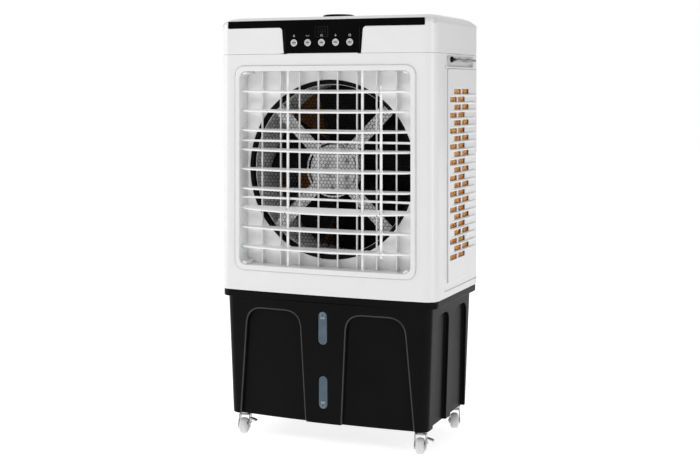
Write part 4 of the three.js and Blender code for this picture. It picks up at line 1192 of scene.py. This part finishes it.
def build_fill_cap():
    low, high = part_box("fill_cap")
    middle = (low + high) / 2
    profile = [(0, low.z), (33 * MM, low.z), (33 * MM, LID_Z + 0.3 * MM), (40.5 * MM, LID_Z + 0.3 * MM),
               (41.8 * MM, LID_Z + 1.2 * MM), (41.8 * MM, high.z - 3.6 * MM), (39.5 * MM, high.z - 1.6 * MM),
               (34 * MM, high.z - 0.4 * MM), (30 * MM, high.z - 0.2 * MM), (28 * MM, high.z - 1.2 * MM),
               (0, high.z - 1.2 * MM)]
    body = revolve(profile, "z", Vector((middle.x, middle.y, 0)), 64)
    grip = block(*about(middle.x, 27 * MM), *about(middle.y, 3 * MM), high.z - 2 * MM, high.z - 0.1 * MM)
    piece("fill_cap_body", merged([body, grip]), BLACK, "fill_cap", ["fill_cap"], 0.5 * MM, 2)


# ------------------------------------------------------------------ casters
CASTERS = {"fl": 192, "fr": 192, "bl": 203, "br": 203}  # how far each is swivelled in the photo, degrees
TRAIL = 14 * MM
WHEEL_RADIUS = 21 * MM


def caster_place(key):
    """Turns a caster drawn about its own swivel, trailing along +Y, into its place."""
    pivot = Vector(JOINTS[f"swivel_{key}"]["pos_m"])
    pivot.z = 0
    return Matrix.Translation(pivot) @ Matrix.Rotation(math.radians(CASTERS[key]), 4, "Z")


def wheel_body():
    """Fat wheel with a rounded tread, a groove round each side and a raised hub."""
    half = 12 * MM
    profile = [(3.35 * MM, -half), (7 * MM, -half), (8 * MM, -half + MM), (8.4 * MM, -half + 3 * MM),
               (13 * MM, -half + 3 * MM), (14 * MM, -half + 1.8 * MM)]
    profile += [(r, w) for w, r in arc(-half + 9 * MM, WHEEL_RADIUS - 7.5 * MM, 7.5 * MM, 175, 90, 7)]
    profile += [(r, -w) for r, w in reversed(profile)]
    return revolve(profile, "x", Vector((0, TRAIL, WHEEL_RADIUS)), 48)


def fork_body():
    race_top = TANK_BOTTOM - 0.3 * MM
    cheek = scaled([(-8, 50), (-10, 43), (6, 14), (12, 12.5), (18, 13), (22, 18), (22, 27), (13, 50)])
    plates = [prism(cheek, "x", *sided(side, 13 * MM, 15 * MM)) for side in (-1, 1)]
    crown = prism(rounded(-15 * MM, 15 * MM, -9 * MM, 13 * MM, 3 * MM), "z", 47.5 * MM, 50.5 * MM)
    profile = scaled([(0, 50), (12, 50), (15.5, 52), (17, 55)])
    race = revolve([*profile, (17 * MM, race_top), (0, race_top)], "z", ORIGIN, 36)
    axle = prism(circle(TRAIL, WHEEL_RADIUS, 3 * MM, 18), "x", -16 * MM, 16 * MM)
    profile = scaled([(0, 0), (4.6, 0), (3.4, 1.8), (0, 1.8)])
    head = revolve(profile, "x", Vector((15 * MM, TRAIL, WHEEL_RADIUS)), 20)
    return merged([*plates, crown, race, axle, head])


def brake_body():
    """Foot lever with a turned-down toe, hinged on the outside of one cheek."""
    inner = -16.5
    lever = [(inner, 27), (inner, 42), (inner - 2, 42.5), (inner - 14, 39), (inner - 18, 36.5),
             (inner - 18, 34), (inner - 14, 35.5), (inner - 3, 39), (inner - 2, 37), (inner - 2, 27)]
    blade = prism(scaled(lever), "y", TRAIL - 9 * MM, TRAIL + 6 * MM)
    barrel = prism(circle((inner - 1) * MM, 29 * MM, 2.1 * MM, 14), "y", TRAIL - 9 * MM, TRAIL + 6 * MM)
    return merged([blade, barrel])


def build_casters():
    for key in CASTERS:
        parts = [
            ("fork", fork_body, ZINC, f"caster_{key}", f"caster_fork_{key}", 0.6 * MM),
            ("tread", wheel_body, WHEEL_WHITE, f"wheel_{key}", f"caster_wheel_{key}", 0.4 * MM),
            ("pedal", brake_body, ZINC, f"brake_{key}", f"caster_brake_{key}", 0.5 * MM),
        ]
        for part, make, finish, rides, node, edge in parts:
            if node in frame["nodes"]:
                body = make()
                body.transform(caster_place(key))
                piece(f"{part}_{key}", body, finish, rides, [node], edge, 2)


# ------------------------------------------------------------------ camera, floor and light
CAMERA_PLACE = Vector((1.3128, -3.1008, 0.9167))
CAMERA_TURN = 22.976
CAMERA_LENS = 64.42
CAMERA_SHIFT = -0.2076
FLOOR_HALF = 14
FLOOR_GLOW = 0.82


def build_camera():
    camera = bpy.data.objects.new("camera", bpy.data.cameras.new("camera"))
    bpy.context.scene.collection.objects.link(camera)
    camera.location = CAMERA_PLACE
    camera.rotation_euler = (math.radians(90), 0, math.radians(CAMERA_TURN))
    camera.data.lens = CAMERA_LENS
    camera.data.sensor_width = 36
    camera.data.shift_y = CAMERA_SHIFT
    camera.data.clip_end = 60
    bpy.context.scene.camera = camera


def build_floor():
    """White ground with a glow that keeps it white under the machine too."""
    mesh = bpy.data.meshes.new("floor")
    corners = [(x * FLOOR_HALF, y * FLOOR_HALF, 0) for x, y in ((-1, -1), (1, -1), (1, 1), (-1, 1))]
    mesh.from_pydata(corners, [], [(0, 1, 2, 3)])
    floor = bpy.data.objects.new("floor", mesh)
    bpy.context.scene.collection.objects.link(floor)
    pale = moulded("pale_floor", grey(0.53), grey(0.55), 0.6, 200, 0.0001, specular=0.1)
    shader = pale.node_tree.nodes["Principled BSDF"]
    fill(shader, Emission_Color=(1, 1, 1, 1), Emission_Strength=FLOOR_GLOW)
    mesh.materials.append(pale)


def add_light(name, place, target, size, power):
    light = bpy.data.lights.new(name, "AREA")
    light.shape = "RECTANGLE"
    light.size, light.size_y = size
    light.energy = power
    obj = bpy.data.objects.new(name, light)
    bpy.context.scene.collection.objects.link(obj)
    obj.location = place
    obj.rotation_euler = (Vector(target) - Vector(place)).to_track_quat("-Z", "Y").to_euler()
    return obj


def build_lights():
    """A white surround, dimmer ahead of the machine and to its right, and four soft boxes."""
    world = bpy.data.worlds.new("studio")
    world.use_nodes = True
    nodes = world.node_tree.nodes
    links = world.node_tree.links
    backdrop = fill(nodes["Background"], Color=(1, 1, 1, 1))
    axes = nodes.new("ShaderNodeSeparateXYZ")
    links.new(nodes.new("ShaderNodeTexCoord").outputs["Generated"], axes.inputs["Vector"])
    fall = rescale(nodes, links, axes.outputs["Y"], From_Min=-0.85, From_Max=-0.15, To_Min=0.55, To_Max=1.0)
    shade = rescale(nodes, links, axes.outputs["X"], From_Min=-0.05, From_Max=0.35, To_Min=1.0, To_Max=0.3)
    fall.interpolation_type = shade.interpolation_type = "SMOOTHSTEP"
    level = calculate(nodes, links, "MULTIPLY", fall.outputs["Result"], shade.outputs["Result"])
    links.new(level, backdrop.inputs["Strength"])
    bpy.context.scene.world = world
    add_light("key_above", (-0.4, -3.0, 2.9), (0, 0, 0.6), (3.0, 1.2), 30)
    add_light("left_box", (-3.0, -0.9, 1.2), (0, 0, 0.7), (0.8, 2.2), 22)
    add_light("right_rear", (1.9, 3.0, 0.8), (0.25, 0, 0.3), (1.0, 1.6), 1.5)
    add_light("right_box", (3.0, -1.25, 1.1), (0.25, -0.1, 0.7), (0.6, 2.2), 22)
    bpy.context.scene.view_settings.view_transform = "Standard"


# ------------------------------------------------------------------ assembly
build_camera()
build_floor()
build_lights()
build_tank()
build_arch_beads()
build_windows()
build_housing()
build_handles()
build_grille()
build_blades()
build_gussets()
build_pin_hole_shade()
build_vanes()
build_duct()
build_net()
build_motor()
build_fan()
build_pads()
build_cover()
build_controls()
build_buttons()
build_fill_cap()
build_casters()
